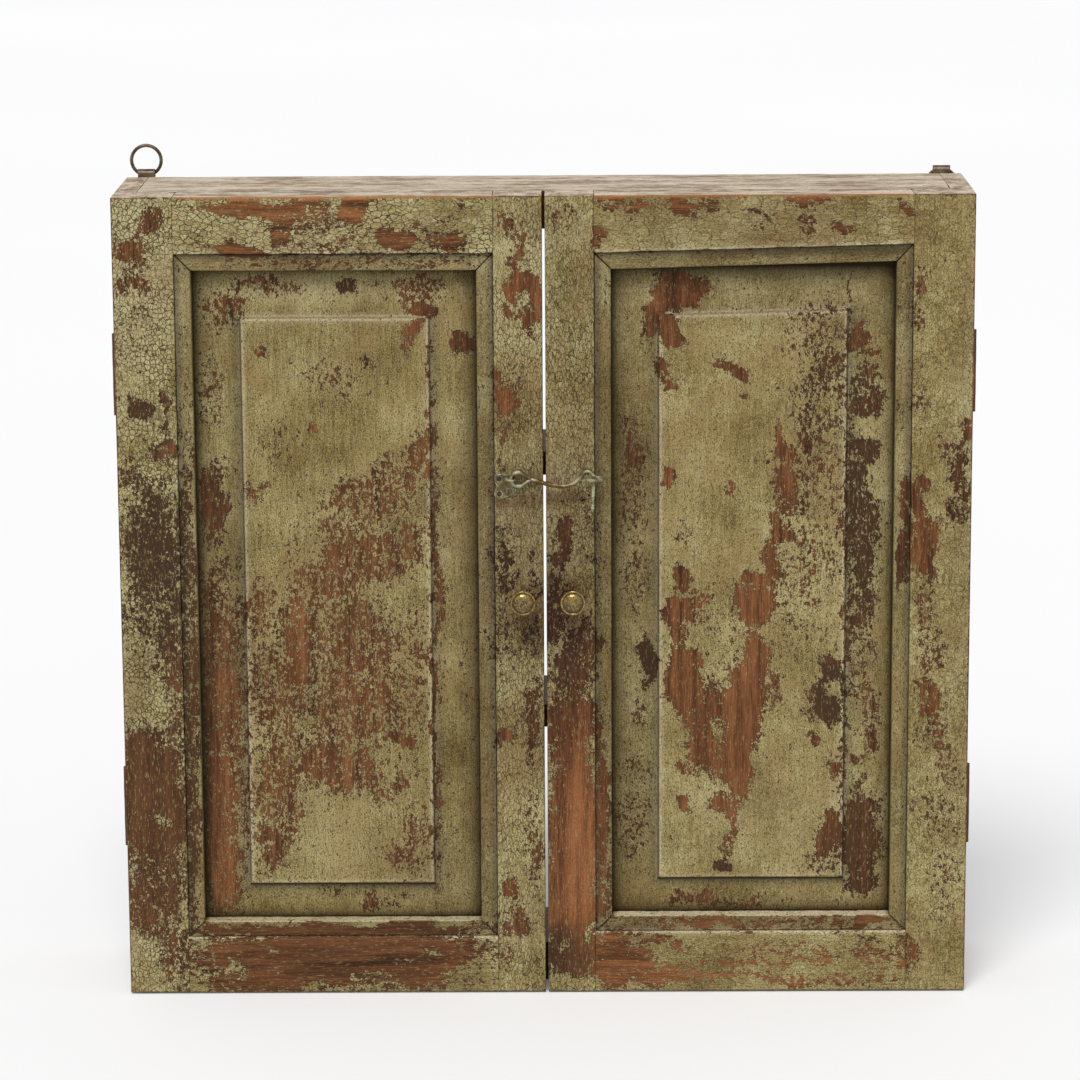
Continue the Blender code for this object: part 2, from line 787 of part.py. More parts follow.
def build_frame(door):
    """Stiles and rails, grooved for the panel and joined by mortises and tenons."""
    side = door.side
    bm = bmesh.new()
    groove = door.outline(door.inset(-GROOVE_DEPTH), PANEL_EDGE_RECESS - CLEARANCE)
    add_prism(bm, groove, Vector((0, TONGUE_THICKNESS + 2 * CLEARANCE, 0)))
    groove_tool = add_cutter(f"{side}_panel_groove", finish_mesh(bm, f"{side}_panel_groove"))
    mortises = tenon_boxes(door, CLEARANCE)
    tenons = tenon_boxes(door, 0.0)
    stiles = {}
    for end, near, far in (
        ("hinge", door.open_hinge, HALF_WIDTH),
        ("meeting", door.meeting_edge, door.open_meeting),
    ):
        corners = door.span(near, far, door.bottom, door.top)
        stile = board(f"{side}_{end}_stile", *corners, PAINTED_WOOD, door.axis, round_front=True)
        combine(stile, groove_tool)
        for rail in ("top", "bottom"):
            tool = cutter_box(f"{side}_{end}_{rail}_mortise", mortises[rail, end])
            combine(stile, tool)
        stiles[end] = stile
    near = door.open_meeting + CLEARANCE
    far = door.open_hinge - CLEARANCE
    outlines = {
        "bottom": [
            (near, door.bottom),
            (far, door.bottom),
            (far, door.open_bottom),
            (near, door.open_bottom),
        ],
        "top": [
            (near, door.top_edge(near)),
            (far, door.top_edge(far)),
            (far, door.top),
            (near, door.top),
        ],
    }
    for rail, outline in outlines.items():
        name = f"{side}_{rail}_rail"
        bm = bmesh.new()
        add_prism(bm, door.outline(outline, 0.0), Vector((0, DOOR_THICKNESS, 0)))
        piece = add_piece(name, finish_mesh(bm, name), PAINTED_WOOD, door.axis)
        outer = door.bottom if rail == "bottom" else door.top
        soften(
            piece,
            lambda edge: all(
                max(abs(v.co.y - DOOR_FRONT), abs(v.co.z - outer)) < SAME_POINT
                for v in edge.verts
            ),
        )
        combine(piece, groove_tool)
        for end in ("meeting", "hinge"):
            tool = cutter_box(f"{side}_{rail}_{end}_tenon", tenons[rail, end])
            combine(piece, tool, "UNION")
    return stiles


def build_panel(door):
    """Fielded panel: a tongue all round, margins that rise to a small step, and a flat field."""
    tongue = door.inset(CLEARANCE + TONGUE_PLAY - GROOVE_DEPTH)
    sight = door.inset(MOULDING_WIDTH)
    margins = (FIELD_BOTTOM_MARGIN, FIELD_SIDE_MARGIN, FIELD_TOP_MARGIN, FIELD_SIDE_MARGIN)
    foot = door.inset(*(MOULDING_WIDTH + margin for margin in margins))
    crown = door.inset(*(MOULDING_WIDTH + margin + FIELD_STEP_DRAFT for margin in margins))
    rings = [
        door.outline(tongue, PANEL_EDGE_RECESS + TONGUE_THICKNESS),
        door.outline(tongue, PANEL_EDGE_RECESS),
        door.outline(sight, PANEL_EDGE_RECESS),
        door.outline(foot, FIELD_RECESS + FIELD_STEP),
        door.outline(crown, FIELD_RECESS),
    ]
    name = f"{door.side}_panel"
    bm = bmesh.new()
    add_loft(bm, rings)
    add_piece(name, finish_mesh(bm, name), PAINTED_WOOD, door.axis)


def moulding_profile():
    """(distance in from the frame, depth) round the moulding's section.

    Its outer edge lies a step below the frame. Its face, slightly hollow, rises from there to a
    rounded inner arris.
    """
    face = MOULDING_WIDTH - MOULDING_ARRIS
    section = []
    for k in range(MOULDING_FACETS):
        share = k / MOULDING_FACETS
        level = MOULDING_STEP + (MOULDING_INNER_DROP - MOULDING_STEP) * share
        section.append((face * share, level + MOULDING_HOLLOW * math.sin(math.pi * share)))
    for k in range(MOULDING_FACETS + 1):
        turn = math.pi / 2 * k / MOULDING_FACETS
        across = face + MOULDING_ARRIS * math.sin(turn)
        section.append((across, MOULDING_INNER_DROP + MOULDING_ARRIS * (1 - math.cos(turn))))
    seat = PANEL_EDGE_RECESS - CLEARANCE
    return [*section, (MOULDING_WIDTH, seat), (0.0, seat)]


def build_mouldings(door):
    """Four mitred lengths round the opening, seated on the panel's edge."""
    outer = door.inset(CLEARANCE)
    inner = door.inset(MOULDING_WIDTH)
    profile = moulding_profile()
    for i, place in enumerate(("bottom", "hinge", "top", "meeting")):
        j = (i + 1) % 4
        along = (outer[j] - outer[i]).normalized() * MITRE_GAP / 2
        rings = []
        for corner, shift in ((i, along), (j, -along)):
            ring = []
            for across, depth in profile:
                share = across / MOULDING_WIDTH
                spot = outer[corner].lerp(inner[corner], share) + shift
                ring.append(door.point(spot.x, spot.y, depth))
            rings.append(ring)
        name = f"{door.side}_{place}_moulding"
        bm = bmesh.new()
        add_loft(bm, rings)
        add_piece(name, finish_mesh(bm, name), PAINTED_WOOD, door.axis)


def knob_profile():
    """Turned knob: a dome inside a beaded rim, then down to the tip of the shank in the wood."""
    rim = KNOB_PROJECTION - KNOB_DOME_DEPTH
    under = rim - KNOB_RIM_DEPTH
    dome = KNOB_RADIUS - 2 * KNOB_RIM_BEAD
    turns = [math.pi / 2 * k / KNOB_DOME_FACETS for k in range(KNOB_DOME_FACETS + 1)]
    return [
        *((dome * math.sin(turn), rim + KNOB_DOME_DEPTH * math.cos(turn)) for turn in turns),
        *arc_points((KNOB_RADIUS - KNOB_RIM_BEAD, rim), KNOB_RIM_BEAD, 135, 0, KNOB_DOME_FACETS),
        (KNOB_RADIUS - KNOB_RIM_TUCK, under),
        (KNOB_NECK_RADIUS, under - KNOB_UNDERCUT),
        (KNOB_NECK_RADIUS, KNOB_ROSE_DEPTH * 2),
        (KNOB_ROSE_RADIUS, KNOB_ROSE_DEPTH),
        (KNOB_ROSE_RADIUS, CLEARANCE),
        (KNOB_SHANK_RADIUS, CLEARANCE),
        (KNOB_SHANK_RADIUS, -KNOB_SHANK_LENGTH),
        (0.0, -KNOB_SHANK_LENGTH),
    ]


def build_knob(door, stile):
    name = f"{door.side}_knob"
    place = facing(door.point(door.knob_from_middle, KNOB_HEIGHT, 0.0), (0, -1, 0))
    mesh = turned_mesh(name, knob_profile(), FINE_SIDES)
    mesh.transform(place)
    add_piece(name, mesh, BRASS, door.axis, smooth=True)
    bm = bmesh.new()
    add_rod(
        bm,
        door.point(door.knob_from_middle, KNOB_HEIGHT, -OVERCUT),
        door.point(door.knob_from_middle, KNOB_HEIGHT, KNOB_SHANK_LENGTH + CLEARANCE),
        KNOB_SHANK_RADIUS + CLEARANCE,
    )
    combine(stile, add_cutter(f"{name}_hole", finish_mesh(bm, f"{name}_hole")))


# Hook latch. Its points are given from the hook's pivot: right, up and out from the door


def latch_point(right, up, out):
    return HOOK_PIVOT + Vector((right, -out, up))


def arc_points(centre, radius, start, stop, count):
    """(right, up) points round part of a circle, angles in degrees."""
    turns = [math.radians(start + (stop - start) * k / count) for k in range(count + 1)]
    return [
        (centre[0] + radius * math.cos(turn), centre[1] + radius * math.sin(turn))
        for turn in turns
    ]


def plate_outline():
    """Two screw lobes at the left with a waist between them, and a straight right end."""
    upper = (-PLATE_SCREW_FROM_PIVOT, 0.0)
    lower = (-PLATE_SCREW_FROM_PIVOT, -PLATE_SCREW_SPACING)
    leg_edge = HOOK_RING_RADIUS - HOOK_WIRE_RADIUS - STAPLE_PLAY - 2 * STAPLE_WIRE_RADIUS
    end = PLATE_MARGIN - leg_edge
    waist = (upper[0] - PLATE_LOBE_RADIUS + PLATE_WAIST, (upper[1] + lower[1]) / 2)
    return [
        (end, HOOK_RING_RADIUS / 2),
        *arc_points(upper, PLATE_LOBE_RADIUS, *PLATE_UPPER_ARC, ARC_STEPS),
        waist,
        *arc_points(lower, PLATE_LOBE_RADIUS, *PLATE_LOWER_ARC, ARC_STEPS),
        (end - PLATE_ROLL_RADIUS, lower[1]),
        (end, -HOOK_RING_RADIUS / 2),
    ]


def staple_points():
    """A wire arch from the plate, over the hook's ring and back through it to the plate."""
    outside = -(HOOK_RING_RADIUS + HOOK_WIRE_RADIUS + STAPLE_PLAY + STAPLE_WIRE_RADIUS)
    inside = -(HOOK_RING_RADIUS - HOOK_WIRE_RADIUS - STAPLE_PLAY - STAPLE_WIRE_RADIUS)
    middle = (outside + inside) / 2
    spread = (inside - outside) / 2
    spring = HOOK_RING_STANDOFF + HOOK_WIRE_RADIUS
    arch = arc_points((middle, spring), spread, 180, 0, ARC_STEPS)
    root = PLATE_THICKNESS / 2
    return [
        latch_point(right, 0.0, out)
        for right, out in [(outside, root), *arch, (inside, root)]
    ]


def build_latch_plate(door, stile):
    name = "latch_plate"
    outline = [latch_point(right, up, CLEARANCE) for right, up in plate_outline()]
    bm = bmesh.new()
    add_prism(bm, outline, Vector((0, -PLATE_THICKNESS, 0)))
    plate = add_piece(name, finish_mesh(bm, name), BRONZE, door.axis)
    path = staple_points()
    staple = wire_mesh("latch_staple", path, [STAPLE_WIRE_RADIUS] * len(path))
    combine(plate, add_cutter("latch_staple", staple), "UNION")
    roll_x = -(HOOK_RING_RADIUS + STAPLE_WIRE_RADIUS)
    foot = PLATE_THICKNESS - PLATE_SCREW_SPACING
    top = -(HOOK_RING_RADIUS + HOOK_WIRE_RADIUS + CLEARANCE)
    root = CLEARANCE + PLATE_THICKNESS / 2
    crown = arc_points((roll_x, root), PLATE_ROLL_RADIUS, 0, 180, ARC_STEPS)
    bm = bmesh.new()
    add_prism(
        bm,
        [latch_point(right, foot, out) for right, out in crown],
        Vector((0, 0, top - foot)),
    )
    combine(plate, add_cutter("latch_roll", finish_mesh(bm, "latch_roll")), "UNION")
    face = PLATE_THICKNESS + CLEARANCE + SCREW_PROUD
    drops = {"upper": 0.0, "lower": PLATE_SCREW_SPACING}
    places = {
        level: facing(latch_point(-PLATE_SCREW_FROM_PIVOT, -drop, face), (0, -1, 0))
        for level, drop in drops.items()
    }
    drill((plate, stile), "latch_screw_holes", SCREW_HOLE, places.values())
    for level, place in places.items():
        add_fastener(f"latch_{level}_screw", SCREW, place, BRONZE, door.axis)


def eye_centre():
    """The middle of the eye, in the latch's right, up, out."""
    return (
        EYE_FROM_MIDDLE + LATCH_PIVOT_FROM_MIDDLE,
        EYE_RISE,
        EYE_STANDOFF,
    )


def hook_route():
    """The hook's shank: it sags, turns up at its heel, arches over the eye's near edge and drops through it."""
    right, up, out = eye_centre()
    pin = right - EYE_PIN_OFFSET
    dip = pin - HOOK_DIP_FROM_PIN
    sag = []
    for k in range(PATH_STEPS + 1):
        share = k / PATH_STEPS
        across = HOOK_LOOP_TIP + (dip - HOOK_LOOP_TIP) * share
        depth = HOOK_DIP * math.sin(share * math.pi / 2)
        lift = HOOK_RING_STANDOFF + (out - HOOK_RING_STANDOFF) * share
        sag.append(Vector((across, -depth, lift)))
    heel = Vector((pin - HOOK_HEEL_FROM_PIN, -HOOK_HEEL, out))
    half = HOOK_ARCH_WIDTH / 2
    turn = (math.pi - HOOK_ARCH_START) / ARC_STEPS
    turns = [HOOK_ARCH_START + turn * k for k in range(ARC_STEPS + 1)]
    arch = [
        Vector((pin - half - half * math.cos(turn), up + HOOK_ARCH_RISE * math.sin(turn), out))
        for turn in turns
    ]
    return [*sag, heel, *arch, Vector((pin - HOOK_PIN_RAKE, up - HOOK_PIN_LENGTH, out))]


def build_hook():
    """A loop drawn to a point where the shank leaves it. It is round where it turns on the staple."""
    axis = add_axis("latch_hook_axis", HOOK_PIVOT)
    tangent = math.degrees(math.acos(HOOK_RING_RADIUS / HOOK_LOOP_TIP))
    round_part = arc_points((0.0, 0.0), HOOK_RING_RADIUS, tangent, 360 - tangent, LOOP_STEPS)
    loop = [
        latch_point(right, up, HOOK_RING_STANDOFF)
        for right, up in [(HOOK_LOOP_TIP, 0.0), *round_part]
    ]
    name = "latch_hook"
    mesh = wire_mesh(name, loop, [HOOK_WIRE_RADIUS] * len(loop), closed=True)
    hook = add_piece(name, mesh, BRONZE, axis, smooth=True)
    path = smooth_path(hook_route(), PATH_STEPS)
    tip = path[-1].y
    taper = HOOK_WIRE_RADIUS - HOOK_TIP_RADIUS
    radii = [
        HOOK_TIP_RADIUS + taper * min(1.0, (point.y - tip) / HOOK_PIN_LENGTH) for point in path
    ]
    points = [latch_point(*point) for point in path]
    shank = wire_mesh("hook_shank", points, radii)
    combine(hook, add_cutter("hook_shank", shank), "UNION")


def build_eye(door, stile):
    """A screw eye bent from one wire: its shank leaves the stile beside the loop."""
    right, up, out = eye_centre()
    turns = [math.pi + EYE_LOOP_ARC * k / LOOP_STEPS for k in range(LOOP_STEPS + 1)]
    loop = [
        latch_point(
            right + EYE_RING_RADIUS * math.cos(turn),
            up,
            out - EYE_RING_RADIUS * math.sin(turn),
        )
        for turn in turns
    ]
    shank_x = right - EYE_RING_RADIUS
    points = [latch_point(shank_x, up, -EYE_SHANK_IN_WOOD), latch_point(shank_x, up, 0.0), *loop]
    mesh = wire_mesh("latch_eye", points, [EYE_WIRE_RADIUS] * len(points))
    add_piece("latch_eye", mesh, BRONZE, door.axis, smooth=True)
    bm = bmesh.new()
    add_rod(
        bm,
        latch_point(shank_x, up, OVERCUT),
        latch_point(shank_x, up, -EYE_SHANK_IN_WOOD - CLEARANCE),
        EYE_WIRE_RADIUS + CLEARANCE,
    )
    combine(stile, add_cutter("latch_eye_hole", finish_mesh(bm, "latch_eye_hole")))


# Ring hangers


def build_strap(side, carcass):
    """A strap folded round the ring, its doubled tail screwed over the side's joint with the top."""
    centre = SIDES[side] * STRAP_CENTRE_X
    half = STRAP_WIDTH / 2
    name = f"{side}_ring_strap"
    bm = bmesh.new()
    add_rod(
        bm,
        (centre - half, RING_AXIS_Y, RING_AXIS_Z),
        (centre + half, RING_AXIS_Y, RING_AXIS_Z),
        STRAP_OUTER,
        FINE_SIDES,
    )
    strap = add_piece(name, finish_mesh(bm, name), BRONZE, smooth=True)
    back = CARCASS_BACK + CLEARANCE
    tail = cutter_box(
        f"{name}_tail",
        (
            (centre - half, back, CARCASS_HEIGHT - STRAP_TAIL),
            (centre + half, back + 2 * STRAP_THICKNESS, RING_AXIS_Z),
        ),
    )
    combine(strap, tail, "UNION")
    bm = bmesh.new()
    add_rod(
        bm,
        (centre - half - OVERCUT, RING_AXIS_Y, RING_AXIS_Z),
        (centre + half + OVERCUT, RING_AXIS_Y, RING_AXIS_Z),
        STRAP_BORE,
        FINE_SIDES,
    )
    combine(strap, add_cutter(f"{name}_bore", finish_mesh(bm, f"{name}_bore")))
    face = back + 2 * STRAP_THICKNESS + SCREW_PROUD
    height = CARCASS_HEIGHT - STRAP_SCREW_DROP
    steps = {"inner": -SIDES[side], "outer": SIDES[side]}
    places = {
        spot: facing((centre + step * STRAP_SCREW_SPREAD, face, height), (0, 1, 0))
        for spot, step in steps.items()
    }
    drill(
        (strap, carcass[side], carcass["top"]),
        f"{name}_screw_holes",
        SCREW_HOLE,
        places.values(),
    )
    for spot, place in places.items():
        add_fastener(f"{name}_{spot}_screw", SCREW, place, IRON)


def build_ring(side, up):
    """A closed ring in its strap, standing (up is 1) or hanging down behind (up is -1)."""
    pivot = Vector((SIDES[side] * STRAP_CENTRE_X, RING_AXIS_Y, RING_AXIS_Z))
    axis = add_axis(f"{side}_ring_axis", pivot)
    centre = pivot + Vector((0, 0, up * RING_CENTRE_ARM))
    circle = arc_points((0.0, 0.0), RING_RADIUS, -90, 270, RING_STEPS)[:-1]
    points = [centre + Vector((x, 0.0, z)) for x, z in circle]
    name = f"{side}_ring"
    mesh = wire_mesh(name, points, [RING_WIRE_RADIUS] * len(points), closed=True)
    add_piece(name, mesh, BRONZE, axis, smooth=True)


def build_door(door, carcass):
    stiles = build_frame(door)
    build_panel(door)
    build_mouldings(door)
    build_knob(door, stiles["meeting"])
    build_hinges(door.side, carcass[door.side], stiles["hinge"], door.axis)
    return stiles


def build():
    carcass = build_carcass()
    left = Door("left", LEFT_BOTTOM_RAIL_WIDTH, LEFT_TOP_RAIL_TAPER, LEFT_KNOB_FROM_MIDDLE)
    right = Door("right", RIGHT_BOTTOM_RAIL_WIDTH, RIGHT_TOP_RAIL_TAPER, RIGHT_KNOB_FROM_MIDDLE)
    left_stiles = build_door(left, carcass)
    right_stiles = build_door(right, carcass)
    build_latch_plate(left, left_stiles["meeting"])
    build_eye(right, right_stiles["meeting"])
    build_hook()
    for side in SIDES:
        build_strap(side, carcass)
    build_ring("left", 1)
    build_ring("right", -1)


build()
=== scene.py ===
"""The looks of an old painted wall cupboard with two panelled doors.

Green-brown paint has crackled and flaked off red-brown wood. The hardware is tarnished brass, verdigris
bronze and rusty iron. Lengths are in metres unless a comment says millimetres.
"""

import math
from collections import namedtuple
from fnmatch import fnmatchcase

import bmesh
import bpy
import numpy as np
from mathutils import Matrix, Vector, kdtree, noise


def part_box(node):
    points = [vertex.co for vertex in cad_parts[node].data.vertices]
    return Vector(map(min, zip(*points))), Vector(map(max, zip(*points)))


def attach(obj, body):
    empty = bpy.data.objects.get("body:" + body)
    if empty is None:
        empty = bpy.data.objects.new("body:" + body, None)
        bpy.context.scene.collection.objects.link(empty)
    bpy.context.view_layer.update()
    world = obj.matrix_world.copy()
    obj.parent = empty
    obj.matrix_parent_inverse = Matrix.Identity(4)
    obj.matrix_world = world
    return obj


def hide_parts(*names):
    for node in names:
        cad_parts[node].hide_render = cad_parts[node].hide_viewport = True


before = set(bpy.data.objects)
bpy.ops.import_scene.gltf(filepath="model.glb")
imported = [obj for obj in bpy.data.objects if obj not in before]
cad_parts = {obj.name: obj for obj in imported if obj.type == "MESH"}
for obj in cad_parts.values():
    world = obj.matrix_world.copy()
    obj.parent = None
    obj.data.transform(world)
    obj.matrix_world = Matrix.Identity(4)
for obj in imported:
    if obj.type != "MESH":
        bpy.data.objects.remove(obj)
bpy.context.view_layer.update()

MM = 0.001

# The camera: where it stands, where it looks and how long its lens is.
CAMERA_PLACE = (0.02198, -3.6561, 1.16262)
CAMERA_PITCH = 11.91
CAMERA_YAW = -0.42
CAMERA_ROLL = -0.33
CAMERA_LENS = 139.86
SENSOR_WIDTH = 36.0
CAMERA_CLIP = 100.0

# The planes that part the painted outside from the bare inside.
DOOR_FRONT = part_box("left_hinge_stile")[0].y
DOOR_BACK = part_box("left_hinge_stile")[1].y
PANEL_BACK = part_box("left_panel")[1].y
HALF_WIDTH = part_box("side_right")[1].x
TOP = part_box("top_board")[1].z

# The mesh that carries the wear: how far its points stand apart, and how round its worn edges are.
FRONT_SPACING = 4.5 * MM
OTHER_SPACING = 14 * MM
EDGE_ROUND = 0.7 * MM
EDGE_WOBBLE = 0.6 * MM
EDGE_WOBBLE_LENGTH = 9 * MM
EDGE_WOBBLE_BIAS = 0.15
EDGE_REACH = 1.2 * MM
OUTLINE_REACH = 6 * MM
EDGE_BAND = 1.6 * MM
LONG_EDGE = 40 * MM
SHOWN_DEPTH = 17 * MM
SAME_POINT = 0.001 * MM
SHARP_ANGLE = math.radians(35)
FLAT_ANGLE = math.radians(1)

# How far a normal has to point one way for its face to look that way: clearly, nearly straight, and to the
# front or down at all.
FACING = 0.5
STRAIGHT = 0.9
FACING_FRONT = -0.2
FACING_DOWN = -0.3

# How the paint has aged where no patch says otherwise, as the share of it that is gone.
FRONT_WEAR = 0.10
PANEL_WEAR = 0.15
MOULDING_WEAR = 0.2
SIDE_WEAR = 0.24
EDGE_WEAR = 0.8
TOP_WEAR = 0.7
TOP_EDGE_WEAR = 0.75
TOP_REACH = 3 * MM
TOP_EDGE_GLOW = 1.35
# How pale the edges are made, rubbed and with painted highlights: on the raised field, and on the bottom
# moulding's upward inner wall, where it is only a painted highlight.
PANEL_RUB_AND_HIGHLIGHT = 0.7
LEDGE_HIGHLIGHT = {"left": 0.95, "right": 1.3}
SHOULDER_CLOSE = 0.25 * MM
INNER_REACH = 7 * MM
BACK_REACH = 3 * MM
OUTSIDE_REACH = 2 * MM
BARE = 1.3
INSIDE_DARK = 0.25

# How much narrower a door's worn outline is at the gap between the doors and at the foot.
MEETING_NARROW = 1.5
FOOT_NARROW = 2.0

# How thick dirt and painted shade lie at the edges of the panels' windows, where the mouldings overhang them,
# and how far they reach.
WINDOW_DIRT_AND_SHADE_SHARE = 0.85
WINDOW_DIRT_AND_SHADE = {
    "left": {"left": 7 * MM, "right": 6 * MM, "top": 4 * MM, "bottom": 5 * MM},
    "right": {"left": 7 * MM, "right": 4.5 * MM, "top": 7 * MM, "bottom": 5 * MM},
}

# How much higher a window's top edge is at one end than at the other, at most.
WINDOW_SLOPE = 8 * MM

# Dirt and painted shadow at the foot of a raised field, thickest below it and to its right, where its step is
# shaded: how thick it lies below, right, above and left, and how far it reaches.
FieldDirt = namedtuple("FieldDirt", "share reach")
FIELD_DIRT_AND_SHADE = [FieldDirt(0.8, 4 * MM), FieldDirt(0.5, 5 * MM), FieldDirt(0.15, 5 * MM), FieldDirt(0.5, 7 * MM)]
FIELD_FOOT = 2.5 * MM

# Where dirt and painted shade lie on a moulding: dirt all over, dirt and painted shade towards its outer
# joint, dirt along its mitres, and painted shade with dirt down its inner wall.
MOULDING_DIRT = 0.14
JOINT_DIRT_AND_SHADE = 0.5
LEDGE_JOINT_DIRT_AND_SHADE = 0.2
WALL_DIRT_AND_SHADE = 0.7
JOINT_DIRT_AND_SHADE_FROM = 7 * MM
JOINT_DIRT_AND_SHADE_RUN = 7 * MM
MITRE_DIRT = 0.6 * MM
MITRE_REACH = 2 * MM
MITRE_LEAN = 3
MOULDING_WALL_FROM = 4 * MM
MOULDING_WALL_RUN = 6 * MM
MOULDING_WIDTH = 17 * MM

# Metal: how round its edges are, how its crust comes and goes, and how finely bars and knobs are made.
METAL_ROUND = 0.25 * MM
CRUST_LENGTH = 6 * MM
CRUST_SWING = 0.9
BAR_SIDES = 16
SQUARE_SWELL = 0.14
TURNED_SIDES = 48

# The hook, in millimetres from its pivot: its loop, sagging shank, arch over the eye and hanging pin, in how
# many steps they curve, and where it is crusted and where coppery; its pale crust grows on faces that look up
# and to the front as a painted highlight.
HOOK_PIVOT = Vector((-22.5 * MM, DOOR_FRONT, 465 * MM))
HOOK_LOOP = 6.2
HOOK_TIP = 11.2
HOOK_WIRE = 1.75 * MM
HOOK_PIN_WIRE = 1.6 * MM
HOOK_STAND = 3.75
HOOK_OUT = 10.5
HOOK_PIN_AT = 65.0
HOOK_DIP = 4.9
HOOK_DIP_BACK = 27.0
HOOK_HEEL = 2.8
HOOK_HEEL_BACK = 17.5
HOOK_ARCH = 10.4
HOOK_ARCH_RISE = 6.4
HOOK_ARCH_START = math.radians(30)
HOOK_EYE_RISE = 1.4
HOOK_PIN_LENGTH = 27.9
HOOK_PIN_RAKE = 1.0
HOOK_TWIST = 9.0
HOOK_TWIST_START = 2.0
HOOK_TWIST_END = 34.0
HOOK_TWIST_BLEND = 3.0
HOOK_COPPER_AT = 24.0
HOOK_COPPER_REACH = 14.0
HOOK_COPPER_LOSS = 0.7
HOOK_CRUST = 0.05
HOOK_CRUST_HIGHLIGHT = 0.4
HOOK_PIN_CRUST = 0.9
HOOK_LOOP_STEPS = 40
HOOK_SAG_STEPS = 5
HOOK_ARCH_STEPS = 7
HOOK_CURVE_STEPS = 12

# A knob: its rim's bead, the rise of its dome, its neck, the rose on the door, its steps, and its tarnish,
# which over the dome's lower half is also painted shade and a painted dark reflection.
KNOB_BEAD = 1.1 * MM
KNOB_BEAD_START = 150
KNOB_BEAD_END = -60
KNOB_DOME = 3.8 * MM
KNOB_TIP = 0.02
KNOB_NECK = 4 * MM
KNOB_ROSE = 6.8 * MM
KNOB_ROSE_TOP = 1.8 * MM
KNOB_FOOT = 0.3 * MM
KNOB_STEPS = 12
KNOB_NECK_STEPS = 10
KNOB_TARNISH_AND_SHADE_FROM = 0.75
KNOB_TARNISH_AND_SHADE_RISE = 1.5
KNOB_RIM_TARNISH = 0.1

# How raggedly a patch ends: the length and height of the waves along its outline, and what they start from.
PATCH_RAGS = [(30 * MM, 9 * MM), (11 * MM, 6 * MM)]
RAG_SEED = 8

# How softly a patch fades out, and how much less softly where all its paint is gone.
PATCH_FADE = 1.5
PATCH_FADE_LOSS = 0.6

# Millimetres: a patch's middle, its half width and half height, the share of paint that is gone at its
# middle (below zero where the paint has held), and how far it leans, in degrees.
Patch = namedtuple("Patch", "x z half_x half_z bare lean", defaults=(0,))

LEFT_FRAME_PATCHES = [Patch(*row) for row in (
    # The top rail: long flakes along its upper and lower edges.
    (-245, 700, 56, 8, 1.0), (-160, 699, 13, 13, 0.95), (-187, 690, 34, 8, 0.5), (-262, 667, 28, 7, 0.95),
    (-222, 682, 13, 13, 0.75), (-170, 670, 36, 8, 0.5), (-124, 674, 17, 9, 0.8), (-104, 685, 14, 5, 0.5),
    (-80, 672, 15, 10, 0.7), (-78, 690, 15, 5, 0.4), (-75, 702, 5, 4, 0.8),
    # The top moulding: thin paint.
    (-190, 655, 90, 8, 0.33), (-100, 655, 40, 8, 0.34),
    # The hinge stile: spots above, nearly bare and dark below.
    (-333, 688, 9, 10, 0.75), (-340, 684, 13, 10, 0.75, 30), (-354, 665, 14, 9, 0.85),
    (-356, 636, 12, 9, 0.6), (-350, 652, 13, 8, 0.4), (-350, 592, 16, 42, 0.26), (-352, 531, 9, 7, 0.8),
    (-330, 530, 5, 22, 0.7), (-332, 492, 9, 12, 0.85), (-340, 405, 26, 62, 0.68), (-357, 470, 12, 18, 0.5),
    (-328, 310, 13, 90, 0.62), (-352, 335, 20, 34, 0.52), (-347, 180, 30, 72, 0.88),
    (-345, 88, 30, 50, 0.66), (-335, 34, 22, 34, 0.6), (-345, 268, 17, 22, -0.6), (-362, 310, 8, 50, -0.3),
    (-340, 160, 4, 9, -0.8, 30), (-355, 32, 17, 22, -0.7), (-348, 5, 28, 8, -0.6),
    (-312, 420, 9, 84, 0.55), (-311, 220, 9, 180, 0.58),
    # The bottom rail and its moulding: bare red wood with islands of paint.
    (-180, 33, 142, 24, 1.05), (-195, 11, 122, 14, 0.86), (-183, 58, 128, 7, 1.0), (-158, 17, 22, 4, -0.6),
    (-211, 5, 12, 6, -0.6), (-165, 6, 36, 5, -0.6), (-99, 40, 6, 5, -0.7), (-240, 36, 7, 4, -0.6),
    (-128, 26, 6, 4, -0.6), (-278, 22, 10, 7, -0.5), (-62, 25, 13, 10, -0.5), (-50, 20, 14, 22, -0.5),
    # The meeting stile: a large star near the top, spots and worn edges below.
    (-22, 632, 16, 13, 0.98), (-8, 616, 9, 26, 0.98), (-24, 612, 14, 5, 0.7), (-27, 655, 7, 20, 0.62),
    (-20, 672, 13, 9, 0.5), (-20, 624, 4, 4, -0.8), (-12, 612, 3, 4, -0.7), (-35, 690, 9, 9, 0.6),
    (-25, 675, 9, 22, 0.36), (-33, 530, 10, 13, 0.95), (-38, 548, 6, 16, 0.6), (-25, 551, 5, 9, 0.5),
    (-35, 505, 7, 9, 0.5), (-37, 480, 6, 16, 0.3), (-36, 400, 10, 34, 0.42), (-36, 372, 8, 12, 0.6),
    (-34, 330, 14, 40, 0.34), (-10, 372, 8, 30, 0.4), (-8, 325, 9, 22, 0.55), (-35, 232, 11, 9, 0.8),
    (-8, 250, 8, 42, 0.6), (-10, 130, 11, 44, 0.46), (-25, 65, 16, 17, 0.6), (-37, 95, 7, 13, 0.8),
    (-20, 25, 20, 20, -0.5),
)]

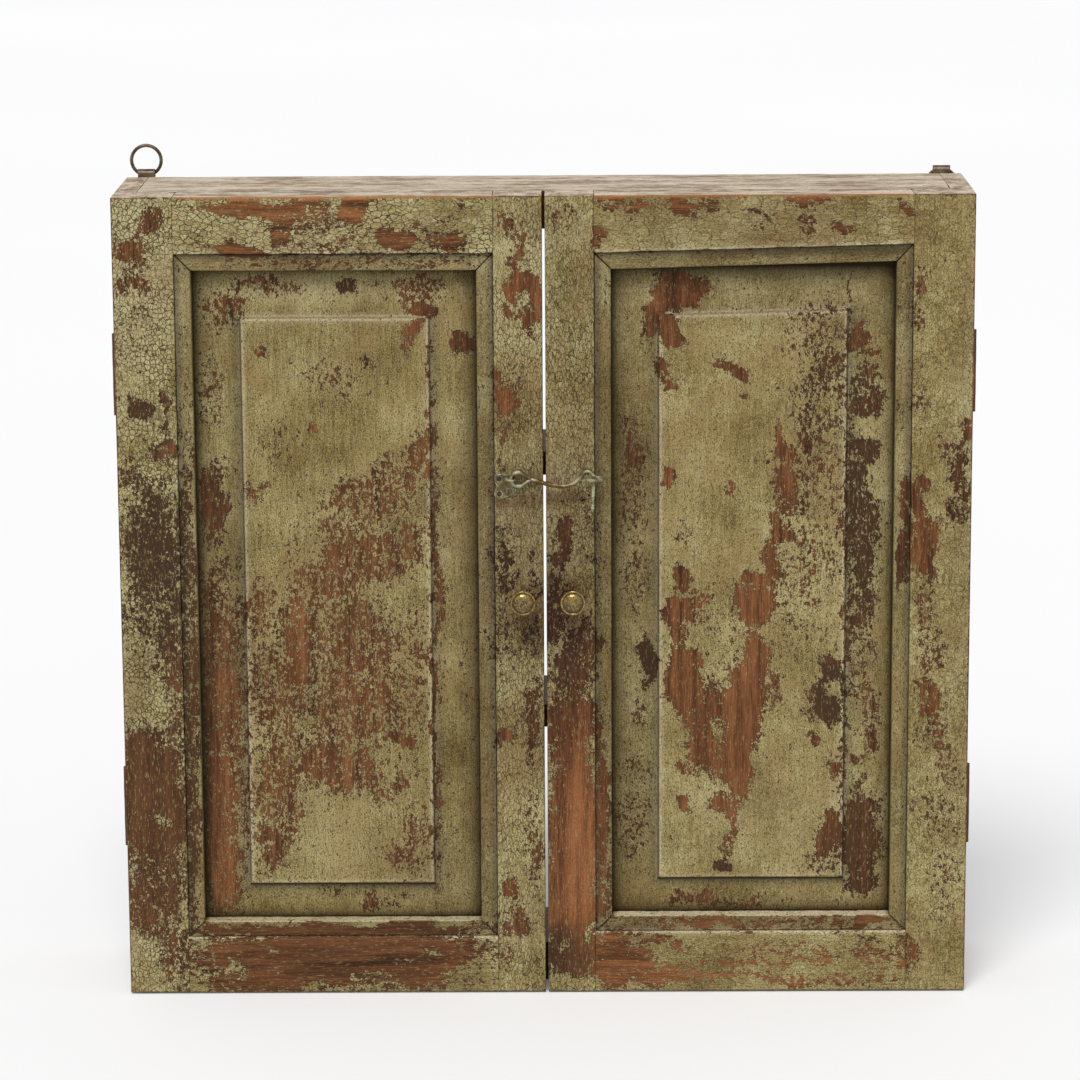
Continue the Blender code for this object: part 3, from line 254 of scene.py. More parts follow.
LEFT_PANEL_PATCHES = [Patch(*row) for row in (
    # The margins round the raised field.
    (-275, 612, 20, 20, 0.52), (-240, 634, 32, 9, 0.55), (-280, 595, 12, 10, 0.4), (-172, 633, 9, 5, 0.85),
    (-145, 632, 5, 5, 0.7), (-105, 630, 22, 11, 0.6), (-108, 615, 14, 7, 0.85), (-72, 586, 10, 10, 1.0),
    (-290, 540, 12, 30, 0.42), (-288, 440, 13, 40, 0.74), (-284, 235, 25, 170, 0.6),
    (-293, 240, 10, 160, 0.72), (-288, 115, 18, 42, 0.7), (-155, 81, 11, 7, 0.8), (-190, 88, 16, 7, 0.4),
    (-135, 82, 22, 9, 0.32),
    # The raised field: spots above, a slanting rubbed band from its right edge down to its left.
    (-117, 597, 9, 9, 0.95), (-118, 584, 5, 9, 0.75), (-248, 583, 7, 5, 0.75), (-150, 566, 9, 9, 0.5),
    (-185, 550, 28, 16, 0.28), (-200, 510, 7, 5, 0.95), (-235, 495, 16, 26, 0.3),
    (-108, 488, 11, 22, 0.62), (-250, 455, 11, 11, 0.6), (-150, 446, 58, 26, 0.5, 30),
    (-135, 398, 46, 24, 0.58, 40), (-180, 385, 56, 32, 0.56, 35), (-215, 318, 22, 50, 0.62),
    (-166, 310, 34, 66, 0.6), (-250, 350, 16, 30, 0.56), (-235, 270, 34, 60, 0.5),
    (-165, 262, 62, 50, 0.54), (-120, 300, 20, 50, 0.42), (-125, 230, 9, 7, 0.8),
    (-190, 205, 48, 26, 0.62), (-236, 180, 24, 60, 0.54), (-125, 190, 14, 11, 0.66),
    (-150, 182, 14, 20, 0.55), (-245, 135, 16, 32, 0.6), (-115, 150, 18, 18, 0.55),
    (-125, 125, 20, 18, 0.5), (-180, 280, 90, 150, 0.3), (-178, 148, 32, 34, -0.7),
    # The raised field's right edge.
    (-97, 350, 4, 280, 0.62),
)]

RIGHT_FRAME_PATCHES = [Patch(*row) for row in (
    # The top rail: a few flakes near its upper edge.
    (85, 700, 17, 5, 0.8), (114, 698, 16, 8, 0.7), (128, 706, 24, 5, 0.6), (180, 700, 7, 4, 0.6),
    (225, 706, 20, 5, 0.75), (225, 690, 9, 9, 0.55), (190, 688, 7, 4, 0.5), (258, 682, 12, 4, 0.85),
    (310, 700, 9, 7, 0.7), (50, 680, 7, 9, 0.95), (46, 667, 7, 7, 0.7), (55, 705, 11, 5, 0.5),
    # The hinge stile.
    (325, 635, 7, 13, 0.6), (322, 605, 7, 13, 0.5), (325, 540, 9, 27, 0.36), (324, 446, 11, 17, 0.95),
    (329, 405, 13, 32, 1.0), (345, 425, 7, 11, 0.4), (361, 460, 9, 38, 0.72), (366, 507, 7, 13, 0.85),
    (350, 490, 11, 11, 0.5), (330, 345, 9, 27, 0.5), (335, 310, 16, 22, 0.5), (335, 266, 13, 22, 0.66),
    (340, 240, 16, 17, 0.4), (350, 220, 11, 27, 0.45), (345, 170, 22, 50, 0.34), (350, 100, 18, 50, 0.3),
    (318, 36, 12, 20, 0.6), (309, 405, 5, 38, 0.95),
    # The meeting stile: bare orange wood all down its lower half.
    (15, 690, 9, 13, 0.46), (25, 700, 9, 7, 0.4), (18, 412, 5, 16, 0.95, 8), (14, 388, 8, 18, 0.72),
    (10, 350, 11, 27, 0.6), (10, 330, 12, 16, 0.66), (40, 400, 8, 44, 0.3), (36, 440, 9, 16, 0.28),
    (25, 300, 20, 32, 0.64), (35, 316, 7, 28, 0.7), (22, 240, 22, 44, 0.78), (24, 150, 24, 74, 0.97),
    (20, 80, 24, 44, 0.98), (20, 32, 22, 20, 0.9), (22, 7, 20, 8, -0.9), (20, 40, 8, 8, -0.4),
    (52, 170, 8, 64, 0.75), (50, 100, 8, 44, 0.5),
    # The bottom rail and its moulding: streaks along the grain.
    (62, 30, 30, 26, 0.86), (92, 16, 44, 12, 0.66), (105, 46, 30, 6, 0.6), (185, 27, 90, 5, 0.56),
    (225, 11, 80, 5, 0.56), (145, 12, 44, 6, 0.54), (200, 40, 100, 6, 0.4), (285, 34, 26, 14, 0.48),
    (300, 14, 26, 10, 0.42), (250, 33, 7, 4, 0.75), (142, 61, 44, 4, 0.75), (190, 64, 130, 7, 0.4),
    (288, 63, 18, 7, 0.9),
)]

RIGHT_PANEL_PATCHES = [Patch(*row) for row in (
    # The margins round the raised field.
    (118, 628, 24, 13, 1.0), (95, 617, 9, 9, 0.95), (105, 640, 12, 6, 0.6), (140, 625, 6, 6, 0.7),
    (93, 603, 7, 22, 0.7), (75, 482, 13, 27, 0.55), (75, 510, 9, 16, 0.5), (80, 440, 16, 42, 0.36),
    (80, 380, 13, 42, 0.32), (88, 300, 8, 22, 0.88), (85, 255, 9, 11, 0.5), (80, 200, 11, 16, 0.32),
    (75, 150, 13, 32, 0.36), (272, 585, 9, 16, 0.72), (286, 570, 5, 6, 0.85), (280, 550, 11, 11, 0.6),
    (280, 530, 15, 11, 0.82), (275, 490, 13, 11, 0.8), (272, 455, 12, 50, 0.66), (278, 410, 15, 60, 0.7),
    (276, 345, 13, 40, 0.62), (280, 280, 12, 60, 0.36), (286, 230, 6, 17, 0.85), (275, 210, 6, 6, 0.75),
    (286, 260, 5, 13, 0.6), (278, 135, 16, 48, 0.88), (278, 97, 14, 14, 0.8), (130, 80, 28, 7, 0.6),
    (180, 78, 34, 5, 0.5),
    # The raised field: its upper corner, a chain of flakes down its right side, and broad runs below.
    (106, 598, 8, 15, 0.95), (115, 590, 5, 9, 0.85), (104, 555, 6, 16, 0.6), (110, 546, 6, 7, 0.6),
    (163, 557, 15, 7, 1.0, -20), (150, 561, 7, 6, 0.85), (170, 537, 7, 4, 0.85), (235, 590, 28, 26, 0.38),
    (245, 560, 18, 18, 0.5), (232, 545, 26, 16, 0.48), (236, 510, 26, 22, 0.46), (225, 470, 34, 40, 0.36),
    (230, 400, 32, 60, 0.34), (205, 500, 6, 13, 0.85), (213, 485, 7, 11, 0.88), (228, 490, 7, 11, 0.72),
    (208, 460, 11, 13, 0.88), (212, 440, 9, 13, 0.72), (200, 420, 6, 22, 0.72), (208, 415, 9, 9, 0.72),
    (200, 390, 7, 22, 0.78), (195, 370, 13, 13, 0.6), (230, 470, 6, 6, 0.5), (225, 437, 6, 7, 0.5),
    (250, 450, 9, 16, 0.38), (108, 465, 7, 9, 0.82), (115, 410, 7, 11, 0.42), (120, 375, 7, 11, 0.82),
    (162, 450, 4, 5, 0.85), (184, 345, 19, 17, 1.1), (180, 366, 13, 16, 0.72), (195, 350, 13, 9, 0.6),
    (112, 345, 9, 15, 0.95), (130, 350, 16, 16, 0.6), (118, 320, 7, 16, 0.72), (120, 283, 13, 27, 0.98),
    (130, 300, 11, 11, 0.82), (185, 300, 13, 22, 0.98), (175, 258, 15, 44, 1.1), (145, 260, 27, 22, 0.75),
    (140, 225, 16, 22, 0.8), (168, 208, 11, 42, 1.0), (125, 205, 11, 11, 0.6), (155, 210, 16, 22, 0.6),
    (152, 172, 9, 7, 0.85), (165, 165, 5, 30, 0.72), (160, 135, 7, 16, 0.6), (200, 270, 9, 27, 0.5),
    (250, 290, 11, 13, 0.95), (238, 268, 9, 9, 0.72), (248, 252, 11, 11, 0.95), (230, 250, 9, 9, 0.5),
    (235, 225, 6, 6, 0.72), (125, 172, 4, 7, 0.85), (152, 112, 9, 8, 1.0), (250, 140, 12, 24, 1.0),
    (240, 115, 16, 7, 0.42), (255, 205, 7, 7, 0.82), (150, 320, 60, 60, 0.2), (220, 340, 40, 100, 0.2),
    # The raised field's right edge.
    (262, 350, 4, 280, 0.55),
)]

# Where the bare wood is darkest, with the share of darkening in place of the share of paint that is gone.
DARK_PATCHES = [Patch(*row) for row in (
    (-342, 390, 34, 90, 1.0), (-345, 520, 26, 40, 0.9), (-347, 170, 34, 130, 0.55),
    (-310, 330, 14, 320, 0.5), (-172, 633, 14, 10, 0.9), (-280, 430, 18, 50, 0.5),
    (278, 440, 16, 130, 0.85), (250, 270, 18, 36, 1.0), (270, 120, 30, 70, 0.6), (152, 112, 14, 12, 1.0),
    (88, 300, 12, 26, 0.9), (242, 545, 30, 40, 0.5), (360, 460, 14, 46, 0.5), (0, 350, 60, 90, 0.6),
    (-180, 30, 140, 40, 0.35), (16, 34, 26, 30, 0.8),
)]

# Where the bare wood is a bright orange brown.
BRIGHT_PATCHES = [Patch(*row) for row in (
    (32, 140, 18, 100, 1.0), (170, 25, 140, 26, 0.6), (280, 63, 44, 10, 0.8), (-287, 120, 16, 80, 0.4),
    (180, 64, 130, 10, 0.7), (-245, 700, 60, 12, 0.6), (-160, 699, 16, 14, 0.6), (-34, 530, 12, 20, 0.4),
    (100, 698, 40, 10, 0.6),
)]

# Where hands and dust have left brown grime, and where painted shadow lies under the hook and the knobs.
GRIME_AND_SHADOW_PATCHES = [Patch(*row) for row in (
    # (0, 446) is painted shadow under the hook and (8, 345) painted shadow under the knobs, both with grime.
    (0, 400, 74, 110, 0.7), (8, 345, 36, 40, 0.95), (0, 446, 54, 11, 1.1), (0, 255, 60, 70, 0.4),
    (30, 560, 32, 120, 0.4), (-20, 520, 26, 60, 0.35), (-62, 340, 13, 330, 0.42), (74, 330, 24, 320, 0.42),
    (-95, 105, 44, 34, 0.4), (180, 688, 150, 28, 0.48), (-80, 685, 30, 20, 0.35),
    (180, 618, 110, 22, 0.36), (180, 650, 150, 12, 0.4), (180, 68, 150, 8, 0.36),
    (-180, 655, 130, 12, 0.25), (-265, 400, 12, 120, 0.3), (-8, 60, 10, 60, 0.4), (8, 40, 10, 40, 0.4),
    (18, 680, 40, 30, 0.32), (80, 630, 24, 44, 0.3), (-190, 580, 100, 40, 0.18), (-35, 100, 20, 44, 0.25),
    (362, 400, 14, 220, 0.3), (-358, 285, 14, 44, 0.35),
)]

# Where the paint has kept a pale grey green, and where painted light lifts the shade under the panels' top
# mouldings.
FRESH_AND_LIT_PATCHES = [Patch(*row) for row in (
    # (-200, 629) and (200, 634) are painted light along the panels' top margins, where the top mouldings cast
    # shadow.
    (-346, 640, 34, 84, 1.2), (-200, 629, 110, 14, 0.9), (200, 634, 100, 14, 0.4), (280, 620, 24, 30, 0.5),
    (-345, 540, 24, 50, 0.5), (-228, 686, 96, 24, 0.6), (-24, 650, 28, 60, 0.7), (-316, 440, 12, 90, 0.6),
    (276, 400, 16, 120, 0.2), (-345, 60, 30, 60, 0.5), (200, 150, 60, 50, 0.4), (-178, 150, 50, 50, 0.3),
)]

# The boards: the body that carries each, the side of the door it is in, which way its grain runs, how its
# paint has crackled and where it has flaked.
Board = namedtuple("Board", "body side grain crackle patches")

# How a place is turned so that the grain runs along its third number, and how far apart the figures of the
# boards lie.
GRAIN_ORDER = {"x": (1, 2, 0), "z": (0, 1, 2)}
GRAIN_SHIFT = (37.0, 53.0, 611.0)

# The size of a crackle's cells, in millimetres, and how strongly it shows.
Crackle = namedtuple("Crackle", "x y z strength")
STILE_CRACKLE = Crackle(3.8, 3.8, 4.4, 0.95)
RIGHT_STILE_CRACKLE = Crackle(4.6, 4.6, 5.2, 0.45)
RAIL_CRACKLE = Crackle(6.2, 5.0, 4.2, 1.0)
RIGHT_RAIL_CRACKLE = Crackle(9.0, 6.0, 7.0, 0.55)
BOTTOM_CRACKLE = Crackle(5.0, 5.0, 4.0, 0.4)
MEETING_CRACKLE = Crackle(2.6, 2.6, 7.0, 0.85)
MOULDING_CRACKLE = Crackle(3.5, 3.5, 4.5, 0.3)
PANEL_CRACKLE = Crackle(2.6, 2.6, 9.0, 0.16)
RIGHT_PANEL_CRACKLE = Crackle(4.4, 4.4, 6.0, 0.26)
CARCASS_CRACKLE = Crackle(4.0, 4.0, 5.0, 0.5)

def list_boards():
    """Every wooden node, with what its finish needs."""
    boards = {}
    for node in ("bottom_board", "top_board", "upper_shelf", "lower_shelf", "side_left", "side_right"):
        grain = "z" if node.startswith("side_") else "x"
        boards[node] = Board("carcass", None, grain, CARCASS_CRACKLE, [])
    doors = (
        ("left", LEFT_FRAME_PATCHES, LEFT_PANEL_PATCHES, STILE_CRACKLE, RAIL_CRACKLE, PANEL_CRACKLE),
        (
            "right", RIGHT_FRAME_PATCHES, RIGHT_PANEL_PATCHES,
            RIGHT_STILE_CRACKLE, RIGHT_RAIL_CRACKLE, RIGHT_PANEL_CRACKLE,
        ),
    )
    for side, frame_patches, panel_patches, stile_crackle, top_crackle, panel_crackle in doors:
        for kind, grain, crackle in (
            ("hinge_stile", "z", stile_crackle),
            ("meeting_stile", "z", MEETING_CRACKLE),
            ("top_rail", "x", top_crackle),
            ("bottom_rail", "x", BOTTOM_CRACKLE),
            ("hinge_moulding", "z", MOULDING_CRACKLE),
            ("meeting_moulding", "z", MOULDING_CRACKLE),
            ("top_moulding", "x", MOULDING_CRACKLE),
            ("bottom_moulding", "x", MOULDING_CRACKLE),
            ("panel", "z", panel_crackle),
        ):
            patches = panel_patches if kind == "panel" else frame_patches
            boards[f"{side}_{kind}"] = Board(f"{side}_door", side, grain, crackle, patches)
    return boards


def stray(points):
    """The points pushed about a little, so that the patches have ragged outlines."""
    moved = np.array(points)
    for length, push in PATCH_RAGS:
        moved += np.array([noise.noise_vector(p / length) for p in points]) * push
    return moved


def patch_field(points, patches):
    """The share of paint that is gone at each point, from the patches that reach it."""
    gone = np.zeros(len(points))
    held = np.zeros(len(points))
    for patch in patches:
        lean = math.radians(patch.lean)
        dx = points[:, 0] / MM - patch.x
        dz = points[:, 2] / MM - patch.z
        along = (dx * math.cos(lean) + dz * math.sin(lean)) / patch.half_x
        across = (dz * math.cos(lean) - dx * math.sin(lean)) / patch.half_z
        fade = PATCH_FADE - PATCH_FADE_LOSS * min(1.0, abs(patch.bare))
        reach = np.clip((1 - np.hypot(along, across)) / fade + 0.5, 0, 1)
        share = abs(patch.bare) * reach * reach * (3 - 2 * reach)
        if patch.bare > 0:
            gone = np.maximum(gone, share)
        else:
            held = np.maximum(held, share)
    return gone * (1 - held)


def cut(bm, place, normal):
    """Cuts a whole mesh along the plane through a place."""
    geometry = bm.verts[:] + bm.edges[:] + bm.faces[:]
    bmesh.ops.bisect_plane(bm, geom=geometry, dist=SAME_POINT, plane_co=place, plane_no=normal)


def slice_mesh(bm, spacing):
    """Cuts the mesh along evenly spaced planes, the longest way first."""
    corners = np.array([v.co for v in bm.verts])
    low, high = corners.min(0), corners.max(0)
    for axis in np.argsort(low - high):
        normal = Vector((0.0, 0.0, 0.0))
        normal[axis] = 1.0
        count = math.ceil((high[axis] - low[axis]) / spacing)
        for k in range(1, count):
            cut(bm, normal * (low[axis] + (high[axis] - low[axis]) * k / count), normal)


def edge_planes(edges):
    """Planes a little to either side of the long edges that a front or a top shows."""
    planes = {}
    for edge in edges:
        start, end = (vert.co for vert in edge.verts)
        normal = (end - start).cross(Vector((0.0, 1.0, 0.0)))
        hidden = start.y > DOOR_FRONT + SHOWN_DEPTH and start.z < TOP - EDGE_BAND
        if normal.length < LONG_EDGE or hidden:
            continue
        normal.normalize()
        if normal.x + normal.z < 0:
            normal.negate()
        for shift in (-EDGE_BAND, EDGE_BAND):
            place = start.dot(normal) + shift
            key = (round(normal.x, 3), round(normal.z, 3), round(place / EDGE_BAND * 2))
            planes[key] = (normal * place, normal)
    return planes.values()


def is_shoulder(edge):
    """Whether an edge stands upright, as a rail's edges do where it meets a stile."""
    start, end = (vert.co for vert in edge.verts)
    return abs(end.z - start.z) > STRAIGHT * (end - start).length


def is_inner(edge, node):
    """Whether an edge of a stile runs along the panel and rails, or along the gap between the doors."""
    low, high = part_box(node)
    inner = high.x if node in ("left_hinge_stile", "right_meeting_stile") else low.x
    place = edge.verts[0].co.x
    return is_shoulder(edge) and min(abs(place - inner), abs(place)) < INNER_REACH


def close_shoulders(bm):
    """Lets a rail's shoulders touch the stiles, so that their joints show as faint lines."""
    places = [v.co.x for v in bm.verts if v.co.y < DOOR_FRONT + SAME_POINT]
    for place, push in ((min(places), -SHOULDER_CLOSE), (max(places), SHOULDER_CLOSE)):
        for vert in [v for v in bm.verts if abs(v.co.x - place) < SHOULDER_CLOSE / 5]:
            vert.co.x += push


def load_shape(node):
    """A node's shape without the edges inside its flat faces, and those of its edges that are sharp."""
    bm = bmesh.new()
    bm.from_mesh(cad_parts[node].data)
    bmesh.ops.remove_doubles(bm, verts=bm.verts, dist=SAME_POINT)
    bmesh.ops.dissolve_limit(bm, angle_limit=FLAT_ANGLE, verts=bm.verts, edges=bm.edges)
    return bm, [e for e in bm.edges if len(e.link_faces) == 2 and e.calc_face_angle() > SHARP_ANGLE]


def round_edges(bm, sharp, offset):
    """Rounds the sharp edges, and marks their new faces in the layer that it gives back."""
    marks = bm.faces.layers.int.new("rounded")
    rounded = bmesh.ops.bevel(
        bm, geom=sharp, offset=offset, segments=2, profile=0.5, affect="EDGES", clamp_overlap=True
    )
    for face in rounded["faces"]:
        face[marks] = 1
    return marks


def worn_mesh(node, spacing):
    """The node's shape with rounded, slightly uneven edges, which are marked."""
    bm, sharp = load_shape(node)
    if node.endswith("_rail"):
        sharp = [e for e in sharp if not is_shoulder(e)]
        close_shoulders(bm)
    if node.endswith("_stile"):
        sharp = [e for e in sharp if not is_inner(e, node)]
    planes = edge_planes(sharp)
    marks = round_edges(bm, sharp, EDGE_ROUND)
    slice_mesh(bm, spacing)
    for place, normal in planes:
        cut(bm, place, normal)
    edge_layer = bm.verts.layers.int.new("worn_edge")
    for face in bm.faces:
        if face[marks]:
            for vert in face.verts:
                vert[edge_layer] = 1
    bm.normal_update()
    for vert in bm.verts:
        if vert[edge_layer]:
            chip = max(0.0, noise.noise(vert.co / EDGE_WOBBLE_LENGTH) + EDGE_WOBBLE_BIAS)
            vert.co -= vert.normal * (chip * EDGE_WOBBLE)
    mesh = bpy.data.meshes.new(node)
    bm.to_mesh(mesh)
    bm.free()
    return mesh


def edge_distance(mesh, points):
    """How far each point lies from the nearest rounded edge."""
    flags = np.zeros(len(points), np.int32)
    mesh.attributes["worn_edge"].data.foreach_get("value", flags)
    marked = np.flatnonzero(flags)
    tree = kdtree.KDTree(len(marked))
    for k, index in enumerate(marked):
        tree.insert(points[index], k)
    tree.balance()
    return np.array([tree.find(p)[2] for p in points])


def read_vectors(mesh, name):
    """A vector of every vertex of a mesh, such as its place or its normal, one in each row."""
    values = np.zeros(len(mesh.vertices) * 3)
    mesh.vertices.foreach_get(name, values)
    return values.reshape(-1, 3)


def add_numbers(mesh, name, values):
    attribute = mesh.attributes.new(name, "FLOAT", "POINT")
    attribute.data.foreach_set("value", np.ascontiguousarray(values, np.float32))


def add_vectors(mesh, name, values):
    attribute = mesh.attributes.new(name, "FLOAT_VECTOR", "POINT")
    attribute.data.foreach_set("vector", np.ascontiguousarray(values, np.float32).ravel())


def window_of(side):
    """The opening inside a door's mouldings: its left, right, lower and upper edges."""
    x0, x1 = sorted(
        (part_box(f"{side}_hinge_moulding"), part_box(f"{side}_meeting_moulding")),
        key=lambda box: box[0].x,
    )
    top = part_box(f"{side}_top_moulding")
    return x0[1].x, x1[0].x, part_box(f"{side}_bottom_moulding")[1].z, top[0].z


def window_dirt_and_shade(points, side):
    """Dirt and painted shade along the four edges of a panel, where the moulding overhangs it."""
    x0, x1, z0, z1 = window_of(side)
    gaps = {
        "left": points[:, 0] - x0,
        "right": x1 - points[:, 0],
        "bottom": points[:, 2] - z0,
        "top": z1 - points[:, 2],
    }
    clean = np.ones(len(points))
    for edge, gap in gaps.items():
        clean *= 1 - WINDOW_DIRT_AND_SHADE_SHARE * np.exp(-np.maximum(gap, 0) / WINDOW_DIRT_AND_SHADE[side][edge])
    return 1 - clean


def field_corners(side):
    """The corners of a panel's raised field as (x, z), from the lower left and round to the upper left."""
    points = read_vectors(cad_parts[f"{side}_panel"].data, "co")
    front = points[points[:, 1] < points[:, 1].min() + SAME_POINT]
    ways = ((-1, -1), (1, -1), (1, 1), (-1, 1))
    return [front[np.argmax(front[:, 0] * right + front[:, 2] * up)][[0, 2]] for right, up in ways]


def beyond_field(points, side):
    """How far each point lies beyond the field's lower, right, upper and left edges."""
    corners = field_corners(side)
    gaps = []
    for start, end in zip(corners, corners[1:] + corners[:1]):
        along = (end - start) / np.linalg.norm(end - start)
        gaps.append((points[:, [0, 2]] - start) @ np.array((along[1], -along[0])))
    return np.array(gaps)


def field_dirt_and_shade(points, side):
    """Dirt at the foot of the step round a field, with painted shadow where the step is shaded, most of all
    below it.
    """
    gaps = beyond_field(points, side)
    nearest = gaps.argmax(0)
    gap = gaps.max(0)
    amount = np.array([dirt.share for dirt in FIELD_DIRT_AND_SHADE])[nearest]
    reach = np.array([dirt.reach for dirt in FIELD_DIRT_AND_SHADE])[nearest]
    fade = np.exp(-np.maximum(gap - FIELD_FOOT, 0) / reach)
    return np.where(gap > FIELD_FOOT / 3, amount * fade, 0.0)


def mitre_gap(points, side):
    """How far each point lies from the nearest mitre of a door's mouldings, seen from the front."""
    gaps = []
    for place, up in (("top", MITRE_LEAN), ("bottom", -MITRE_LEAN)):
        shape = read_vectors(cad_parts[f"{side}_{place}_moulding"].data, "co")[:, [0, 2]]
        for right in (-1, 1):
            inner = shape[np.argmax(right * shape[:, 0] - up * shape[:, 1])]
            outer = shape[np.argmax(right * shape[:, 0] + up * shape[:, 1])]
            length = np.linalg.norm(outer - inner)
            along = (outer - inner) / length
            offset = points[:, [0, 2]] - inner
            share = np.clip(offset @ along, 0, length)
            gaps.append(np.linalg.norm(offset - share[:, None] * along, axis=1))
    return np.min(gaps, 0)


def dirt_and_shade_on(node, side, points, normals):
    """Dirt and painted shade at the edges of the panels, and on each moulding at its outer joint, mitres and
    inner wall; the bottom moulding's upward faces, which catch the light, get none.
    """
    if node.endswith("_panel"):
        return np.maximum(window_dirt_and_shade(points, side), field_dirt_and_shade(points, side))
    if not node.endswith("_moulding"):
        return np.zeros(len(points))
    x0, x1, z0, z1 = window_of(side)
    gap = {
        "hinge": (x0 - points[:, 0]) if side == "left" else (points[:, 0] - x1),
        "meeting": (points[:, 0] - x1) if side == "left" else (x0 - points[:, 0]),
        "bottom": z0 - points[:, 2],
        "top": points[:, 2] - z1,
    }[node.split("_")[1]]
    joint = np.clip((gap - JOINT_DIRT_AND_SHADE_FROM) / JOINT_DIRT_AND_SHADE_RUN, 0, 1)
    mitre = np.exp(-((mitre_gap(points, side) / MITRE_DIRT) ** 2))
    depth = np.clip((points[:, 1] - DOOR_FRONT - MOULDING_WALL_FROM) / MOULDING_WALL_RUN, 0, 1)
    # The bottom moulding's inner wall looks up into the light, so it gets no painted shade; the other
    # mouldings' inner walls darken with depth.
    if node.endswith("_bottom_moulding"):
        dirt = np.maximum(MOULDING_DIRT + LEDGE_JOINT_DIRT_AND_SHADE * joint, mitre)
        return np.where(normals[:, 2] > FACING, 0.0, dirt)
    return np.maximum.reduce((MOULDING_DIRT + JOINT_DIRT_AND_SHADE * joint, mitre, WALL_DIRT_AND_SHADE * depth))


def rubbed(node, side, points, normals, edge):
    """Where edges inside a door's outline are made pale, partly rubbed and partly painted highlight, with
    none on faces that look down: its window, its mouldings and its raised field, and a painted highlight on
    the bottom moulding's upward inner wall.
    """
    if not side:
        return np.zeros(len(points))
    z0, z1 = window_of(side)[2:]
    rub = np.where(normals[:, 2] < FACING_DOWN, 0.0, edge * (1 - outer_edge(points)))
    if node.endswith("_moulding"):
        # The bottom moulding's upward inner wall gets a painted highlight, as if lit from above.
        if node.endswith("_bottom_moulding"):
            rub = np.where(normals[:, 2] > FACING, LEDGE_HIGHLIGHT[side], rub)
        return np.where(mitre_gap(points, side) < MITRE_REACH, 0.0, rub)
    if node.endswith(("_stile", "_rail")):
        beside = (points[:, 2] > z0 - MOULDING_WIDTH) & (points[:, 2] < z1 + MOULDING_WIDTH + WINDOW_SLOPE)
        return np.where(beside, rub, 0.0)
    return rub * PANEL_RUB_AND_HIGHLIGHT


def outer_edge(points):
    """One near the outline of a door, where hands and knocks have worn its edges, and nought elsewhere."""
    gaps = np.stack((
        HALF_WIDTH - np.abs(points[:, 0]),
        np.abs(points[:, 0]) * MEETING_NARROW,
        TOP - points[:, 2],
        points[:, 2] * FOOT_NARROW,
    ))
    return np.clip(1 - gaps.min(0) / OUTLINE_REACH, 0, 1)


def coverage(node, board, points, normals, edge, strayed):
    """The share of paint that is gone at each point, and how pale the bare wood there is."""
    if board.side:
        base = PANEL_WEAR if node.endswith("_panel") else FRONT_WEAR
        base = MOULDING_WEAR if node.endswith("_moulding") else base
        front = base + (1 - base) * patch_field(strayed, board.patches)
        outer = np.where(normals[:, 1] < FACING_FRONT, front, SIDE_WEAR)
        wear = np.maximum(outer, EDGE_WEAR * (edge * outer_edge(points)))
        behind = (points[:, 1] > DOOR_BACK - BACK_REACH) | (normals[:, 1] > FACING)
        recess = (points[:, 1] > PANEL_BACK - SAME_POINT) & (outer_edge(points) == 0)
        wear = np.where(behind | recess, BARE, wear)
    else:
        outside = np.abs(points[:, 0]) > HALF_WIDTH - OUTSIDE_REACH
        wear = np.where(outside, SIDE_WEAR, BARE)
        wear = np.maximum(wear, edge * EDGE_WEAR)
    top = points[:, 2] > TOP - TOP_REACH
    wear = np.where(top & (normals[:, 2] > STRAIGHT), TOP_WEAR, wear)
    if node.endswith("_top_rail"):
        wear = np.where(top, np.maximum(wear, TOP_EDGE_WEAR * edge), wear)
    return wear, np.where(top, 1.0, 0.0)


def build_board(node, board, seed):
    """A wooden node with worn edges, and numbers on its mesh that steer its finish."""
    mesh = worn_mesh(node, FRONT_SPACING if board.side else OTHER_SPACING)
    count = len(mesh.vertices)
    points = read_vectors(mesh, "co")
    normals = read_vectors(mesh, "normal")
    edge = np.exp(-edge_distance(mesh, points) / EDGE_REACH)
    strayed = stray(points) if board.side else points

    def spread(places, patches):
        return patch_field(places, patches if board.side else [])

    wear, pale = coverage(node, board, points, normals, edge, strayed)
    inside = normals[:, 1] > FACING
    bright = spread(points, BRIGHT_PATCHES)
    if node.endswith("_top_rail"):
        top_edge = (points[:, 2] > TOP - TOP_REACH) & (points[:, 1] < DOOR_FRONT + TOP_REACH)
        bright = np.where(top_edge, TOP_EDGE_GLOW, bright)
    upward = normals[:, 2] > STRAIGHT
    numbers = {
        "wear": wear,
        "dark": np.where(inside | (not board.side), INSIDE_DARK, spread(points, DARK_PATCHES)),
        "bright": bright,
        "dirt": np.where(inside, 0.0, dirt_and_shade_on(node, board.side, points, normals)),
        "pale": pale,
        "rub": rubbed(node, board.side, points, normals, edge),
        "grime": np.where(inside | upward, 0.0, spread(strayed, GRIME_AND_SHADOW_PATCHES)),
        "fresh": spread(strayed, FRESH_AND_LIT_PATCHES),
        "crack": np.full(count, board.crackle.strength),
        "cell": np.full(count, (board.crackle.x + board.crackle.z) / 2),
    }
    for name, values in numbers.items():
        add_numbers(mesh, name, values)
    add_vectors(mesh, "grain", points[:, GRAIN_ORDER[board.grain]] / MM + np.array(GRAIN_SHIFT) * seed)
    add_vectors(mesh, "flake", points / MM / np.array(board.crackle[:3]) + seed)
    return add_piece(f"{node}_finish", mesh, board.body, WOOD, node)


def srgb(red, green, blue):
    """A colour as a picture holds it, 0 to 255, made linear for a shader."""
    def linear(value):
        share = value / 255
        return share / 12.92 if share <= 0.04045 else ((share + 0.055) / 1.055) ** 2.4
    return (linear(red), linear(green), linear(blue), 1.0)


